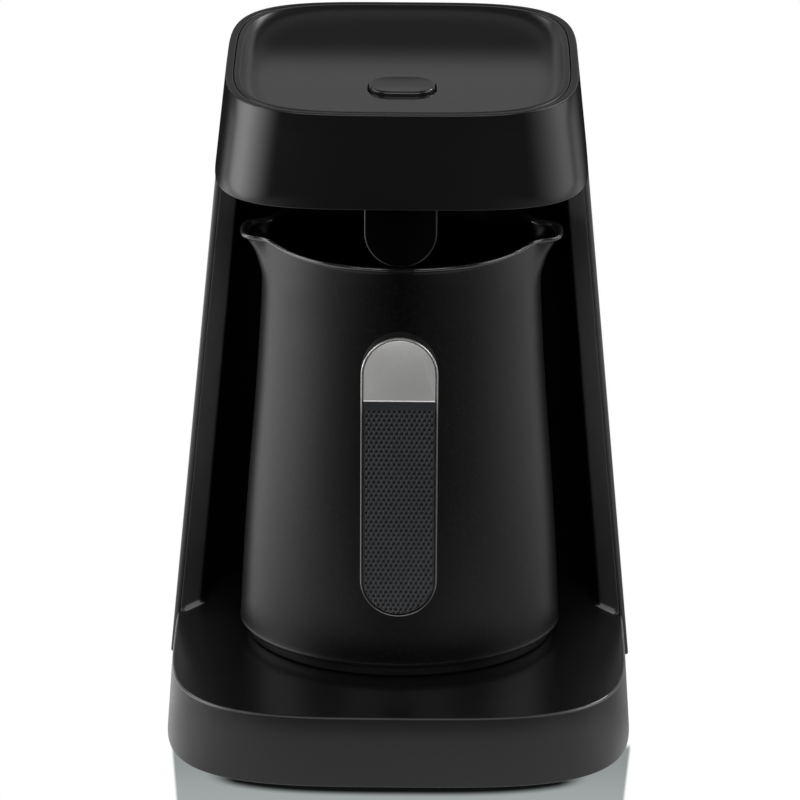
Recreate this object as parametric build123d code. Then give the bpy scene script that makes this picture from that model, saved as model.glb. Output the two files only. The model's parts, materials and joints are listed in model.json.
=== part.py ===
from build123d import *
import os
from math import cos, sin, pi, radians, exp

os.makedirs("parts", exist_ok=True)

# ---------------------------------------------------------------- driving dimensions (mm)
# While it is modelled the body's front face is at y = 0 and its back at y = DEPTH; every piece is moved by
# -DEPTH/2 when it is written, so that the origin is the middle of the footprint, on the table.
DEPTH = 164.0           # base front to rear shell
FOOT_GAP = 2.0          # table to the lower edge of the base
BASE_TOP = 23.6         # deck that the pot stands on
SHELL_BOTTOM = 10.5     # lower edge of the rear shell
SHELL_FRONT = 95.0      # front edge of the rear shell
SHELL_WALL = 1.8
HEAD_BOTTOM = 176.0
HEAD_TOP = 204.5
WALL = 2.3              # moulded walls
CLEAR = 0.1             # between pieces that are screwed or clipped together

BASE_HALF = 70.4        # half width at the base's lower edge
BASE_DRAFT = 0.065
SHELL_HALF = 71.15      # half width of the rear shell at its lower edge
SHELL_DRAFT = 0.0935
BACK_DRAFT = 0.0593

NICHE_HALF = 61.3       # half width of the pot's niche at the deck
NICHE_DRAFT = 0.0858
NICHE_BACK = 140.0      # back wall of the niche at the deck
NICHE_LEAN = 0.0236
FACET_IN = 103.5        # rear edge of the angled front facets

POT_Y = 83.5            # pot axis
POT_RING_R = 47.5
POT_BOTTOM = 23.9
VESSEL_BOTTOM = 27.4
VESSEL_FLOOR = 40.0
VESSEL_WALL = 1.2
RIM_Z = 151.0
POT_TRAVEL = 150.0      # slides forwards, clear of the base

HANDLE_Y = 6.0          # front face of the handle
HANDLE_LOW, HANDLE_HIGH = 53.6, 139.6
HANDLE_W = 22.6
CAP_LOW = 120.2

BUTTON_Y = 61.0
BUTTON_W, BUTTON_D = 19.6, 19.0
BUTTON_TOP = 201.9
BUTTON_TRAVEL = 1.5
DISH = 200.7            # floor of the dished top cover

NOSE_HALF = 10.7        # half width of the foam sensor's nose
NOSE_FRONT, NOSE_BACK = 26.0, 60.0
NOSE_LOW = 155.2

N_PTS = 32


# ---------------------------------------------------------------- helpers
def ring_points(a, y_front, b_front, y_back, n, m=N_PTS, n_back=None):
    """Closed outline: a superellipse whose front and rear lobes have their own depths, and their own squareness."""
    yc = y_front + b_front
    pts = []
    for k in range(m):
        t = 2 * pi * k / m
        c, s = cos(t), sin(t)
        b = b_front if s < 0 else y_back - yc
        p = n if s < 0 or n_back is None else n_back
        r = (abs(c / a) ** p + abs(s / b) ** p) ** (-1.0 / p)
        pts.append((r * c, yc + r * s))
    return pts


def ring_face(z, pts):
    return Face(Wire([Spline([(x, y, z) for x, y in pts], periodic=True)]))


def taper(outline, z0, z1, inset=0.0, steps=(0.0, 1.0)):
    """Solid between two heights of a tapered outline, pulled in by inset."""
    zs = [z0 + (z1 - z0) * s for s in steps]
    return loft([ring_face(z, outline(z, inset)) for z in zs], ruled=True)


def between(low, high, k):
    """Outline at fraction k of the way from one outline to another, so that every taper lies on one ruled surface."""
    return [(p[0] + (q[0] - p[0]) * k, p[1] + (q[1] - p[1]) * k) for p, q in zip(low, high)]


def base_outline(z, d=0.0):
    h = BASE_TOP - FOOT_GAP
    low = ring_points(BASE_HALF - d, 0.0 + d, 67.0 - d, DEPTH - d, 3.55)
    high = ring_points(BASE_HALF - BASE_DRAFT * h - d, 0.8 + d, 71.0 - d, DEPTH - BACK_DRAFT * h - d, 3.6)
    return between(low, high, (z - FOOT_GAP) / h)


def shell_outline(z, d=0.0):
    h = HEAD_BOTTOM - SHELL_BOTTOM
    low = ring_points(SHELL_HALF - d, 20.0 + d, 60.0 - d, DEPTH - BACK_DRAFT * (SHELL_BOTTOM - 2.0) - d, 3.55)
    high = ring_points(SHELL_HALF - SHELL_DRAFT * h - d, 20.0 + d, 60.0 - d, DEPTH - BACK_DRAFT * (HEAD_BOTTOM - 2.0) - d, 3.85)
    return between(low, high, (z - SHELL_BOTTOM) / h)


def head_outline(z, d=0.0):
    low = ring_points(55.7 - d, 14.2 + d, 61.0 - d, 153.7 - d, 3.9)
    high = ring_points(52.85 - d, 15.2 + d, 68.4 - d, 152.3 - d, 3.8, n_back=4.3)
    return between(low, high, (z - HEAD_BOTTOM) / (HEAD_TOP - HEAD_BOTTOM))


def box(x0, x1, y0, y1, z0, z1):
    return Pos((x0 + x1) / 2, (y0 + y1) / 2, (z0 + z1) / 2) * Box(x1 - x0, y1 - y0, z1 - z0)


def rod_z(x, y, z0, z1, r):
    return Pos(x, y, (z0 + z1) / 2) * Cylinder(r, z1 - z0)


def rod_y(x, z, y0, y1, r):
    return Pos(x, (y0 + y1) / 2, z) * Rot(90, 0, 0) * Cylinder(r, y1 - y0)


def tube_z(x, y, z0, z1, ro, ri):
    return rod_z(x, y, z0, z1, ro) - rod_z(x, y, z0 - 1, z1 + 1, ri)


def rounded_prism(w, d, r, x, y, z0, z1):
    return Pos(x, y, z0) * extrude(RectangleRounded(w, d, r), z1 - z0)


def slot_prism(width, z_low, z_high, y0, y1):
    """Upright stadium plate, extruded along Y."""
    r = width / 2
    zc = (z_low + z_high) / 2
    pl = Plane(origin=(0, y0, zc), x_dir=(1, 0, 0), z_dir=(0, 1, 0))
    sk = pl * (Rectangle(width, z_high - z_low - width) + Pos(0, (z_high - z_low) / 2 - r) * Circle(r)
               + Pos(0, -(z_high - z_low) / 2 + r) * Circle(r))
    return extrude(sk, y1 - y0, dir=(0, 1, 0))


def wire_tube(points, radius, bend):
    """Insulated lead along straight runs joined by arcs."""
    path = FilletPolyline(*points, radius=bend) if len(points) > 2 else Polyline(*points)
    start = path @ 0
    return sweep(Plane(origin=start, z_dir=path % 0) * Circle(radius), path=path)


def solids_of(shape):
    return list(shape.solids())


def save(name, *shapes):
    found = []
    for s in shapes:
        found += solids_of(s)
    shift = Location((0, -DEPTH / 2, 0))
    moved = [s.moved(shift) for s in found]
    item = moved[0] if len(moved) == 1 else Compound(children=moved)
    item.label = name
    export_step(item, f"parts/{name}.step")
    print(f"{name:22s} {len(moved):3d}  {sum(s.volume for s in moved):10.1f}")


def screw_up(x, y, z0, length, r=1.25, head_r=2.6, head_h=1.8):
    """Cross-head screw driven upwards: its head's lower face is at z0."""
    s = rod_z(x, y, z0, z0 + head_h, head_r) + rod_z(x, y, z0 + head_h, z0 + head_h + length, r)
    return s - box(x - 0.4, x + 0.4, y - 1.6, y + 1.6, z0 - 0.1, z0 + 0.9) - box(x - 1.6, x + 1.6, y - 0.4, y + 0.4, z0 - 0.1, z0 + 0.9)


def screw_down(x, y, z1, length, r=1.25, head_r=2.6, head_h=1.8):
    s = rod_z(x, y, z1 - head_h, z1, head_r) + rod_z(x, y, z1 - head_h - length, z1 - head_h, r)
    return s - box(x - 0.4, x + 0.4, y - 1.6, y + 1.6, z1 - 0.9, z1 + 0.1) - box(x - 1.6, x + 1.6, y - 0.4, y + 0.4, z1 - 0.9, z1 + 0.1)


# ---------------------------------------------------------------- base
BASE_BOSSES = [(-50, 34), (50, 34), (-50, 100), (50, 100), (0, 20)]
COLUMN_SCREWS = [(-50.0, 137.5), (50.0, 137.5)]
GLAND_Z = 16.0

shell_cavity = taper(shell_outline, SHELL_BOTTOM - 1.5, HEAD_BOTTOM + 2, SHELL_WALL + CLEAR)
base_body = taper(base_outline, FOOT_GAP, BASE_TOP)
# above the shell's lower edge the rear of the base steps in, and the shell closes over it
rebate = box(-90, 90, SHELL_FRONT - 0.2, DEPTH + 20, SHELL_BOTTOM - 0.2, BASE_TOP + 5) - shell_cavity
base_body -= rebate
base_hollow = taper(base_outline, FOOT_GAP - 1, BASE_TOP - 2.5, WALL + 0.2)
inner_limit = box(-90, 90, -5, DEPTH - 5.0, 0, BASE_TOP - 2.5)
hollow = base_hollow & inner_limit
side_limit = box(-90, 90, -5, SHELL_FRONT - 3, 0, 30) + taper(shell_outline, 0.5, BASE_TOP - 2.5, SHELL_WALL + CLEAR + WALL)
base_tray = base_body - (hollow & side_limit)
for x, y in BASE_BOSSES:
    base_tray += rod_z(x, y, FOOT_GAP + 2.1, BASE_TOP - 2.0, 3.6)
for x, y in BASE_BOSSES:
    base_tray -= rod_z(x, y, 0, BASE_TOP - 5.0, 1.3)
for x, y in COLUMN_SCREWS:
    base_tray -= rod_z(x, y, 0, BASE_TOP + 1, 1.3)
base_tray -= box(-18, 18, 151, 158.5, BASE_TOP - 4, BASE_TOP + 1)          # leads pass up into the column
base_tray -= box(-5, 5, 150, DEPTH + 5, 0, GLAND_Z + 5.0)                        # notch for the cord gland
save("base_tray", base_tray)

base_plate = taper(base_outline, FOOT_GAP, FOOT_GAP + 2.0, WALL + 0.5)
base_plate &= (box(-90, 90, -5, SHELL_FRONT - 3.3, 0, 30) + taper(shell_outline, 0.5, 8, SHELL_WALL + CLEAR + WALL + 0.3)) & box(-90, 90, -5, DEPTH - 5.3, 0, 10)
base_plate += box(-12, 12, 142, 150, FOOT_GAP + 1.5, 12.6)                    # pedestal under the cord clamp
FEET = [(-46, 20), (46, 20), (-34, 148), (34, 148)]
for x, y in FEET:
    base_plate -= rod_z(x, y, 0, 10, 2.55)
for x, y in BASE_BOSSES:
    base_plate -= rod_z(x, y, 0, 10, 1.35) + rod_z(x, y, 0, FOOT_GAP + 1.2, 2.8)
for x, y in COLUMN_SCREWS:
    base_plate -= rod_z(x, y, 0, 10, 4.0)                                    # driver access to the column screws
for x in (-8, 8):
    base_plate -= rod_z(x, 146, 6, 20, 1.3)
for k in range(7):                                                          # vent slots
    base_plate -= box(-15 + 5 * k - 1, -15 + 5 * k + 1, 60, 84, 0, 10)
save("base_plate", base_plate)

feet = []
for x, y in FEET:
    f = rod_z(x, y, 0, FOOT_GAP, 7.0) + rod_z(x, y, FOOT_GAP, FOOT_GAP + 2.05, 2.5) + rod_z(x, y, FOOT_GAP + 2.05, FOOT_GAP + 3.6, 3.4)
    feet.append(f)
save("rubber_feet", *feet)
save("base_screws", *[screw_up(x, y, FOOT_GAP + 0.1 - 0.7 + 0.0, 10.0, head_h=1.8) for x, y in BASE_BOSSES])
housing_screws = [screw_up(x, y, BASE_TOP - 2.5 - 1.8, 12.0) for x, y in COLUMN_SCREWS]

# ---------------------------------------------------------------- column: rear shell and niche liner
shell_outer = taper(shell_outline, SHELL_BOTTOM, HEAD_BOTTOM - CLEAR)
shell_inner = taper(shell_outline, SHELL_BOTTOM - 1, HEAD_BOTTOM + 1, SHELL_WALL)
rear_shell = (shell_outer - shell_inner) & box(-90, 90, SHELL_FRONT, DEPTH + 10, 0, 250)
rear_shell -= box(-5, 5, 150, DEPTH + 5, 0, GLAND_Z + 5.0)
save("rear_shell", rear_shell)


def niche_curve(z, d, m=15):
    """Plan curve of the niche wall, from +x round the back to -x."""
    a = NICHE_HALF - NICHE_DRAFT * (z - BASE_TOP) + d
    b = NICHE_BACK - NICHE_LEAN * (z - BASE_TOP) - 100.0 + d
    n = 2.9
    y_start = FACET_IN if d == 0 else FACET_IN + 3.0
    import math
    t0 = math.atan2((y_start - 100.0) / b, 1.0)
    pts = []
    for k in range(m):
        t = t0 + (pi - 2 * t0) * k / (m - 1)
        c, s = cos(t), sin(t)
        r = (abs(c / a) ** n + abs(s / b) ** n) ** (-1.0 / n)
        pts.append((r * c, 100.0 + r * s, z))
    return pts


def liner_section(z):
    xs = SHELL_HALF - SHELL_DRAFT * (z - SHELL_BOTTOM) - SHELL_WALL - CLEAR - 0.15
    inner = niche_curve(z, 0.0)
    outer = niche_curve(z, 2.0)
    p0, p0m = (xs, SHELL_FRONT + 0.3, z), (-xs, SHELL_FRONT + 0.3, z)
    q0, q0m = (xs, SHELL_FRONT + 4.5, z), (-xs, SHELL_FRONT + 4.5, z)
    edges = [Line(p0, inner[0]), Spline(inner), Line(inner[-1], p0m), Line(p0m, q0m), Line(q0m, outer[-1]),
             Spline(outer[::-1]), Line(outer[0], q0), Line(q0, p0)]
    return Face(Wire(edges))


LINER_LOW, LINER_HIGH = BASE_TOP + 0.05, HEAD_BOTTOM - CLEAR
niche_liner = loft([liner_section(LINER_LOW), liner_section(LINER_HIGH)], ruled=True)
column_fill = taper(shell_outline, LINER_LOW, LINER_HIGH, SHELL_WALL + CLEAR)


def niche_void(z):
    pts = niche_curve(z, 0.6)
    return Face(Wire([Spline(pts), Line(pts[-1], (pts[-1][0], 60, z)), Line((pts[-1][0], 60, z), (pts[0][0], 60, z)), Line((pts[0][0], 60, z), pts[0])]))


niche_cut = loft([niche_void(LINER_LOW - 1), niche_void(LINER_HIGH + 1)], ruled=True)
TOP_SCREWS = [(-39.0, 136.5), (39.0, 136.5)]
BOARD_Y = 144.4
BOARD_HOLES = [(-24, 66), (24, 66), (-24, 134), (24, 134)]
bosses = None
for x, y in COLUMN_SCREWS:
    b = box(x - 4, x + 4, y - 9, y + 4.2, LINER_LOW, 40)
    bosses = b if bosses is None else bosses + b
for x, y in TOP_SCREWS:
    bosses += box(x - 3.6, x + 3.6, y - 9, y + 3.8, 158, LINER_HIGH)
for x, z in BOARD_HOLES:
    bosses += rod_y(x, z, 130, BOARD_Y, 3.2)
bosses = (bosses & column_fill) - niche_cut
niche_liner += bosses
for x, y in COLUMN_SCREWS:
    niche_liner -= rod_z(x, y, 20, 36.5, 1.3)
for x, y in TOP_SCREWS:
    niche_liner -= rod_z(x, y, 162, 180, 1.3)
for x, z in BOARD_HOLES:
    niche_liner -= rod_y(x, z, BOARD_Y - 2.2, BOARD_Y + 1, 1.05)
niche_liner -= box(-14.1, 14.1, 134, 150, 25.4, 42.6)                      # window for the pot's socket
save("niche_liner", niche_liner)

# ---------------------------------------------------------------- pot socket and supply parts
PIN_X = (-8.0, 0.0, 8.0)
SOCK_Z = 34.0
socket = box(-14, 14, 138.2, 153, 25.5, 42.5)
for x in PIN_X:
    socket -= box(x - 1.6, x + 1.6, 138, 154, SOCK_Z - 4.2, SOCK_Z + 4.2)
socket += box(-18, -14, 143.0, 146.0, 27, 41) + box(14, 18, 143.0, 146.0, 27, 41)     # ears behind the niche wall
save("pot_socket", socket)
save("socket_contacts", *[box(x + 1.0, x + 1.6, 140, 157, SOCK_Z - 3, SOCK_Z + 3) for x in PIN_X])

power_board = box(-30, 30, BOARD_Y, BOARD_Y + 1.6, 60, 140)
for x, z in BOARD_HOLES:
    power_board -= rod_y(x, z, BOARD_Y - 1, BOARD_Y + 3, 1.1)
save("power_board", power_board)
PF = BOARD_Y + 1.6
board_screws = [rod_y(x, z, BOARD_Y - 2.0, PF, 1.0) + rod_y(x, z, PF, PF + 1.5, 2.2) for x, z in BOARD_HOLES]
save("terminal_block", box(-15, 15, PF, PF + 10.6, 60.5, 70.5))
save("power_relay", box(-14, 4, PF, PF + 9.0, 76, 92))
save("supply_transformer", box(-12, 4, PF, PF + 8.5, 98, 112) + box(-9, 1, PF + 0.5, PF + 8.0, 96, 114))
save("filter_capacitor", Pos(14, PF + 4.6, 88) * Cylinder(4.4, 18) + box(12, 16, PF, PF + 1.2, 80, 84))
save("board_fuse", Pos(14, PF + 3.0, 112) * Cylinder(2.6, 20) + box(12.5, 15.5, PF, PF + 1.0, 103, 106) + box(12.5, 15.5, PF, PF + 1.0, 118, 121))
save("board_header", box(-8, 8, PF, PF + 6.0, 124, 131))

save("socket_leads", *[wire_tube([(x + 1.3, 155.0, SOCK_Z + 3), (x + 1.3, 155.0, 60.5)], 1.1, 1) for x in PIN_X])
save("supply_leads", *[wire_tube([(x, 155.6, 12.0), (x, 155.6, 60.5)], 1.1, 1) for x in (-12.6, 13.2)])
gland = rod_y(0, GLAND_Z, 150.5, DEPTH, 4.8) + rod_y(0, GLAND_Z, 151.5, 154.5, 6.4)
gland -= box(-10, 10, 150, 156, GLAND_Z + 4.95, GLAND_Z + 10)
gland += box(-4.9, 4.9, 159.1, 162.8, FOOT_GAP + 2.1, GLAND_Z + 4.9)           # block that fills the notch in base and shell
gland -= rod_y(0, GLAND_Z, 140, DEPTH + 5, 3.2)
save("cord_gland", gland)
clamp = box(-12, 12, 142.4, 149.6, 13.4, 16.4) + box(-5.4, 5.4, 142.4, 149.6, 15, 20.8)
clamp -= rod_y(0, GLAND_Z, 130, 160, 3.25)
for x in (-8, 8):
    clamp -= rod_z(x, 146, 10, 20, 1.35)
save("cord_clamp", clamp)
save("clamp_screws", *[screw_down(x, 146, 16.4 + 1.8, 8.0, head_r=2.3) for x in (-8, 8)])

# ---------------------------------------------------------------- head
head_band = taper(head_outline, HEAD_BOTTOM, HEAD_TOP) - taper(head_outline, HEAD_BOTTOM - 0.5, HEAD_TOP + 0.5, WALL)
ledge = taper(head_outline, 193.6, 195.6, 0.5) - taper(head_outline, 193.0, 196.2, WALL + 1.8)
head_band += ledge
save("head_band", head_band)

POSTS = [(-35, 40), (35, 40), (-35, 123), (35, 123)]
CTRL_HOLES = [(-26, 50), (26, 50), (-26, 96), (26, 96)]
underside = taper(head_outline, HEAD_BOTTOM, HEAD_BOTTOM + 2.0, WALL + 0.15)
for x, y in CTRL_HOLES:
    underside += rod_z(x, y, HEAD_BOTTOM + 1.5, 187.0, 3.0)
underside += rounded_prism(25.4, 35.4, 3, 0, (NOSE_FRONT + NOSE_BACK) / 2 - 0.3, HEAD_BOTTOM + 1.5, HEAD_BOTTOM + 4) 
underside -= box(-8.8, 8.8, NOSE_FRONT + 2.2, NOSE_BACK - 2.2, HEAD_BOTTOM - 1, HEAD_BOTTOM + 6)
for x, y in CTRL_HOLES:
    underside -= rod_z(x, y, 181, 188, 1.05)
for x, y in POSTS:
    underside -= rod_z(x, y, HEAD_BOTTOM - 1, HEAD_BOTTOM + 3, 1.35)
for x, y in TOP_SCREWS:
    underside -= rod_z(x, y, HEAD_BOTTOM - 1, HEAD_BOTTOM + 3, 1.35)
underside -= box(-9, 9, 141, 148, HEAD_BOTTOM - 1, HEAD_BOTTOM + 3)          # cable passage from the column
save("head_underside", underside)

cover_out = taper(head_outline, 195.8, HEAD_TOP, WALL + 0.25)
dish_edge = head_outline(DISH + 2.2, WALL + 6.2)
dish_floor = between(dish_edge, ring_points(30.0, 34.0, 23.0, 80.0, 2.6), 0.6)      # flat round the button, rising slowly to the back
dish_cut = loft([ring_face(DISH, dish_floor), ring_face(DISH + 2.2, dish_edge), ring_face(HEAD_TOP + 0.4, head_outline(HEAD_TOP + 0.4, WALL + 2.2))], ruled=True)
under_cut = taper(head_outline, 195.0, DISH - 2.0, WALL + 2.2)
top_cover = cover_out - dish_cut - under_cut
for x, y in POSTS:
    top_cover += rod_z(x, y, HEAD_BOTTOM + 2.1, DISH - 1.5, 3.5)
for x, y in POSTS:
    top_cover -= rod_z(x, y, HEAD_BOTTOM, 192, 1.3)
top_cover -= rounded_prism(BUTTON_W + 0.8, BUTTON_D + 0.8, 7.4, 0, BUTTON_Y, 190, 210)
save("top_cover", top_cover)
housing_screws += [screw_up(x, y, HEAD_BOTTOM - 1.8, 12.0) for x, y in POSTS]
housing_screws += [screw_down(x, y, HEAD_BOTTOM + 2.0 + 1.8, 12.0) for x, y in TOP_SCREWS]
save("housing_screws", *housing_screws)

# button: cap with retaining flange and stem, its guide frame, return spring, switch
cap = rounded_prism(BUTTON_W, BUTTON_D, 7.0, 0, BUTTON_Y, 199.4, BUTTON_TOP)
cap = fillet(cap.faces().sort_by(Axis.Z)[-1].edges(), 0.6)
flange = rounded_prism(BUTTON_W + 3.0, BUTTON_D + 3.0, 7.5, 0, BUTTON_Y, 197.0, 198.3) + rounded_prism(BUTTON_W, BUTTON_D, 7.0, 0, BUTTON_Y, 197.5, 199.6)
cap = cap + flange
cap -= rounded_prism(BUTTON_W - 3.0, BUTTON_D - 3.0, 6.0, 0, BUTTON_Y, 196.5, 200.1)
cap += rod_z(0, BUTTON_Y, 194.7, 200.4, 2.0)
save("button_cap", cap)
guide = rounded_prism(27.6, 27.0, 8.5, 0, BUTTON_Y, 192.0, DISH - 2.05) - rounded_prism(23.6, 23.0, 8.0, 0, BUTTON_Y, 193.6, 205)
guide -= rod_z(0, BUTTON_Y, 190, 196, 2.6)
save("button_guide", guide)
SPR_R, SPR_W = 4.2, 0.35
spring_path = Helix(pitch=1.6, height=5.7, radius=SPR_R)
spring = sweep(Plane(origin=spring_path @ 0, z_dir=spring_path % 0) * Circle(SPR_W), path=spring_path, is_frenet=True)
save("button_spring", Pos(0, BUTTON_Y, 193.6 + SPR_W + 0.02) * spring)
CB = 188.6
control_board = rounded_prism(60, 54, 2, 0, 73, 187.0, CB)
for x, y in CTRL_HOLES:
    control_board -= rod_z(x, y, 186, 190, 1.1)
save("control_board", control_board)
board_screws += [rod_z(x, y, CB - 3.6, CB, 1.0) + rod_z(x, y, CB, CB + 1.5, 2.2) for x, y in CTRL_HOLES]
save("board_screws", *board_screws)
save("tact_switch", rounded_prism(6, 6, 0.5, 0, BUTTON_Y, CB, 191.4) + rod_z(0, BUTTON_Y, 191.3, 193.1, 1.7))
save("indicator_led", rod_z(8.5, BUTTON_Y, CB, 190.6, 1.5))
save("control_chip", box(-20, -10, 76, 86, CB, CB + 1.6))
save("buzzer", tube_z(14, 84, CB, CB + 6.0, 6.0, 1.0))
save("board_connector", box(-8, 8, 92, 98, CB, CB + 5.0))
save("head_cable", wire_tube([(0, PF + 3.0, 131.0), (0, PF + 3.0, 150.0), (0, 144.5, 160.0), (0, 144.5, 183.0), (0, 103.0, 183.0), (0, 103.0, 191.5), (0, 98.0, 191.5)], 1.6, 2.4))

# ---------------------------------------------------------------- foam sensor nose
def nose_section(half, low, y):
    r = half
    return Wire([Line((-half, y, HEAD_BOTTOM), (half, y, HEAD_BOTTOM)), Line((half, y, HEAD_BOTTOM), (half, y, low + r)),
                 ThreePointArc((half, y, low + r), (0, y, low), (-half, y, low + r)), Line((-half, y, low + r), (-half, y, HEAD_BOTTOM))])


nose = extrude(Face(nose_section(NOSE_HALF, NOSE_LOW, NOSE_FRONT)), amount=NOSE_BACK - NOSE_FRONT, dir=(0, 1, 0))
nose -= extrude(Face(nose_section(NOSE_HALF - 1.8, NOSE_LOW + 1.8, NOSE_FRONT + 1.8)), amount=NOSE_BACK - NOSE_FRONT - 3.6, dir=(0, 1, 0))
LENS_Y = 52.0
nose = nose & box(-20, 20, 20, 70, 150, HEAD_BOTTOM)
nose -= rod_z(0, LENS_Y, 150, 160, 4.1)
save("sensor_nose", nose)
lens = rod_z(0, LENS_Y, 155.6, 158.4, 4.0)
save("sensor_lens", lens)
save("sensor_board", box(-8, 8, 30, 57.5, 166.0, 167.2))
save("sensor_emitters", rod_z(-2.0, LENS_Y, 160.5, 166.0, 1.5), rod_z(2.0, LENS_Y, 160.5, 166.0, 1.5))
save("sensor_cable", wire_tube([(0, 40.0, 167.2), (0, 40.0, 187.0)], 1.2, 1))

# ---------------------------------------------------------------- pot
PROFILE = [(27.4, 48.95), (45.0, 48.15), (71.0, 46.5), (96.5, 44.5), (119.0, 43.0), (136.0, 42.3), (143.0, 42.4), (148.0, 42.8), (RIM_Z, 43.3)]
PLAIN = (0.0, 0.0, 3.0)
SPOUT = {136.0: PLAIN, 143.0: (2.1, 0.5, 3.4), 148.0: (4.9, 1.2, 2.2), RIM_Z: (7.1, 1.8, 1.6)}   # lobe, waist, softness


def mouth(u, lobe, pinch, soft):
    """Added radius at u degrees from the nearer spout's middle: a lobe, and a slight waist beside it."""
    k = min(max((62.0 - u) / 35.0, 0.0), 1.0)
    return lobe / (1.0 + exp((u - 12.6) / soft)) - pinch * k * k * (3.0 - 2.0 * k)


def vessel_face(z, r, spout, d):
    lobe, pinch, soft = spout
    pts = []
    m = 72
    for k in range(m):
        t = 360.0 * k / m
        u = min(t % 180.0, 180.0 - t % 180.0)
        rr = r + mouth(u, lobe, pinch, soft) - d
        pts.append((rr * cos(radians(t)), POT_Y + rr * sin(radians(t))))
    return ring_face(z, pts)


def vessel_solid(d, z_from=VESSEL_BOTTOM, top=0.0):
    secs = []
    for z, r in PROFILE:
        if z < z_from - 0.01:
            continue
        secs.append(vessel_face(z, r, SPOUT.get(z, PLAIN), d))
    if z_from > PROFILE[0][0]:
        lo = [p for p in PROFILE if p[0] < z_from][-1]
        hi = [p for p in PROFILE if p[0] >= z_from][0]
        r = lo[1] + (hi[1] - lo[1]) * (z_from - lo[0]) / (hi[0] - lo[0])
        if hi[0] - z_from > 0.01:
            secs.insert(0, vessel_face(z_from, r, PLAIN, d))
    if top:
        secs.append(vessel_face(RIM_Z + top, PROFILE[-1][1] + 0.2, (7.5, 1.8, 1.6), d))
    return loft(secs, ruled=True)


vessel_outer = vessel_solid(0.0)
vessel = vessel_outer - vessel_solid(VESSEL_WALL, VESSEL_FLOOR + 1.6, top=1.0)
vessel -= rod_z(0, POT_Y, 20, VESSEL_FLOOR, 47.3)
PLUG_LOW, PLUG_HIGH = 28.4, 38.6
vessel -= box(-12.4, 12.4, POT_Y + 30, POT_Y + 60, 20, PLUG_HIGH + 0.2)      # notch for the plug
save("pot_vessel", vessel)

ring = tube_z(0, POT_Y, POT_BOTTOM, VESSEL_BOTTOM - 0.1, POT_RING_R, 41.0) + tube_z(0, POT_Y, VESSEL_BOTTOM - 0.5, 37.0, 46.4, 44.4)
ring += tube_z(0, POT_Y, 26.3, VESSEL_BOTTOM - 0.1, 42.0, 38.5)
ring -= box(-12.4, 12.4, POT_Y + 30, POT_Y + 60, VESSEL_BOTTOM - 0.1, 50)
PB = [(34.0 * cos(radians(a)), POT_Y + 34.0 * sin(radians(a))) for a in (30, 150, 270)]
save("pot_base_ring", ring)
bottom = rod_z(0, POT_Y, 24.2, 26.2, 40.8)
for x, y in PB:
    bottom -= rod_z(x, y, 20, 30, 1.35)
    bottom -= rod_z(x, y, 20, 25.2, 2.8)
save("pot_bottom_cover", bottom)
save("pot_seal", tube_z(0, POT_Y, 31.0, 35.0, 47.25, 46.45) - box(-12.4, 12.4, POT_Y + 30, POT_Y + 60, 20, 50))
plate = rod_z(0, POT_Y, 36.6, VESSEL_FLOOR - 0.02, 38.0)
for x, y in PB:
    plate += rod_z(x, y, 26.3, 37.0, 3.2)
for x, y in PB:
    plate -= rod_z(x, y, 25, 34.0, 1.3)
save("heat_plate", plate)
save("pot_base_screws", *[screw_up(x, y, 25.2 - 1.0 + 0.0 - 0.8 + 0.8 - 0.2, 7.0, head_h=1.2) for x, y in PB])
elem = Pos(0, POT_Y, 33.5) * Torus(25.0, 3.05)
elem -= box(-7, 7, POT_Y + 15, POT_Y + 35, 25, 36.7)
save("heating_element", elem)
save("thermostat", rod_z(0, POT_Y, 30.5, 36.6, 8.5) + box(-3, 3, POT_Y - 12, POT_Y + 12, 29.0, 31.5))
save("thermal_fuse", Pos(0, POT_Y - 16.5, 34.6) * Rot(0, 90, 0) * Cylinder(1.9, 11))
plug = box(-12, 12, POT_Y + 46.0, 137.4, PLUG_LOW, PLUG_HIGH) + box(-12, 12, POT_Y + 38.0, POT_Y + 46.5, PLUG_LOW, 35.5)
plug = plug & (box(-12, 12, 100, 137.4, PLUG_LOW, PLUG_HIGH))
for x in PIN_X:
    plug -= box(x - 0.6, x + 0.6, 100, 140, SOCK_Z - 3, SOCK_Z + 3)
save("pot_plug", plug)
save("plug_blades", *[box(x - 0.6, x + 0.6, 121.55, 146.5, SOCK_Z - 3, SOCK_Z + 3) for x in PIN_X])
save("element_leads", *[rod_y(sx * 7.8, 32.2, POT_Y + 27.4, 121.45, 0.9) for sx in (-1, 1)])

# handle: bracket on the pot, moulded back, bright frame with its cap, textured insert
frame_plate = slot_prism(HANDLE_W, HANDLE_LOW, HANDLE_HIGH, HANDLE_Y, HANDLE_Y + 3.2)
insert_space = slot_prism(HANDLE_W - 1.6, HANDLE_LOW + 0.8, HANDLE_HIGH - 0.8, HANDLE_Y - 1, HANDLE_Y + 5) & box(-20, 20, 0, 20, 0, CAP_LOW)
save("handle_frame", frame_plate - insert_space)
grip = slot_prism(HANDLE_W - 1.7, HANDLE_LOW + 0.85, HANDLE_HIGH - 0.85, HANDLE_Y + 0.2, HANDLE_Y + 3.2) & box(-20, 20, 0, 20, 0, CAP_LOW - 0.05)
save("handle_grip", grip)
back = slot_prism(HANDLE_W - 0.4, HANDLE_LOW + 0.2, HANDLE_HIGH - 0.2, HANDLE_Y + 3.25, HANDLE_Y + 9.5)
back = fillet(back.faces().sort_by(Axis.Y)[-1].edges(), 2.4)
HS = (111.5, 122.0)
for z in HS:
    back -= rod_y(0, z, 0, 30, 1.35)
    back -= rod_y(0, z, 0, HANDLE_Y + 5.2, 2.9)
save("handle_back", back)
bracket = box(-8.0, 8.0, HANDLE_Y + 9.55, 60, 106.5, 127.0) - vessel_outer
bracket = Part(bracket.solids().sort_by(Axis.Y)[0].wrapped) if len(bracket.solids()) > 1 else bracket
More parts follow.
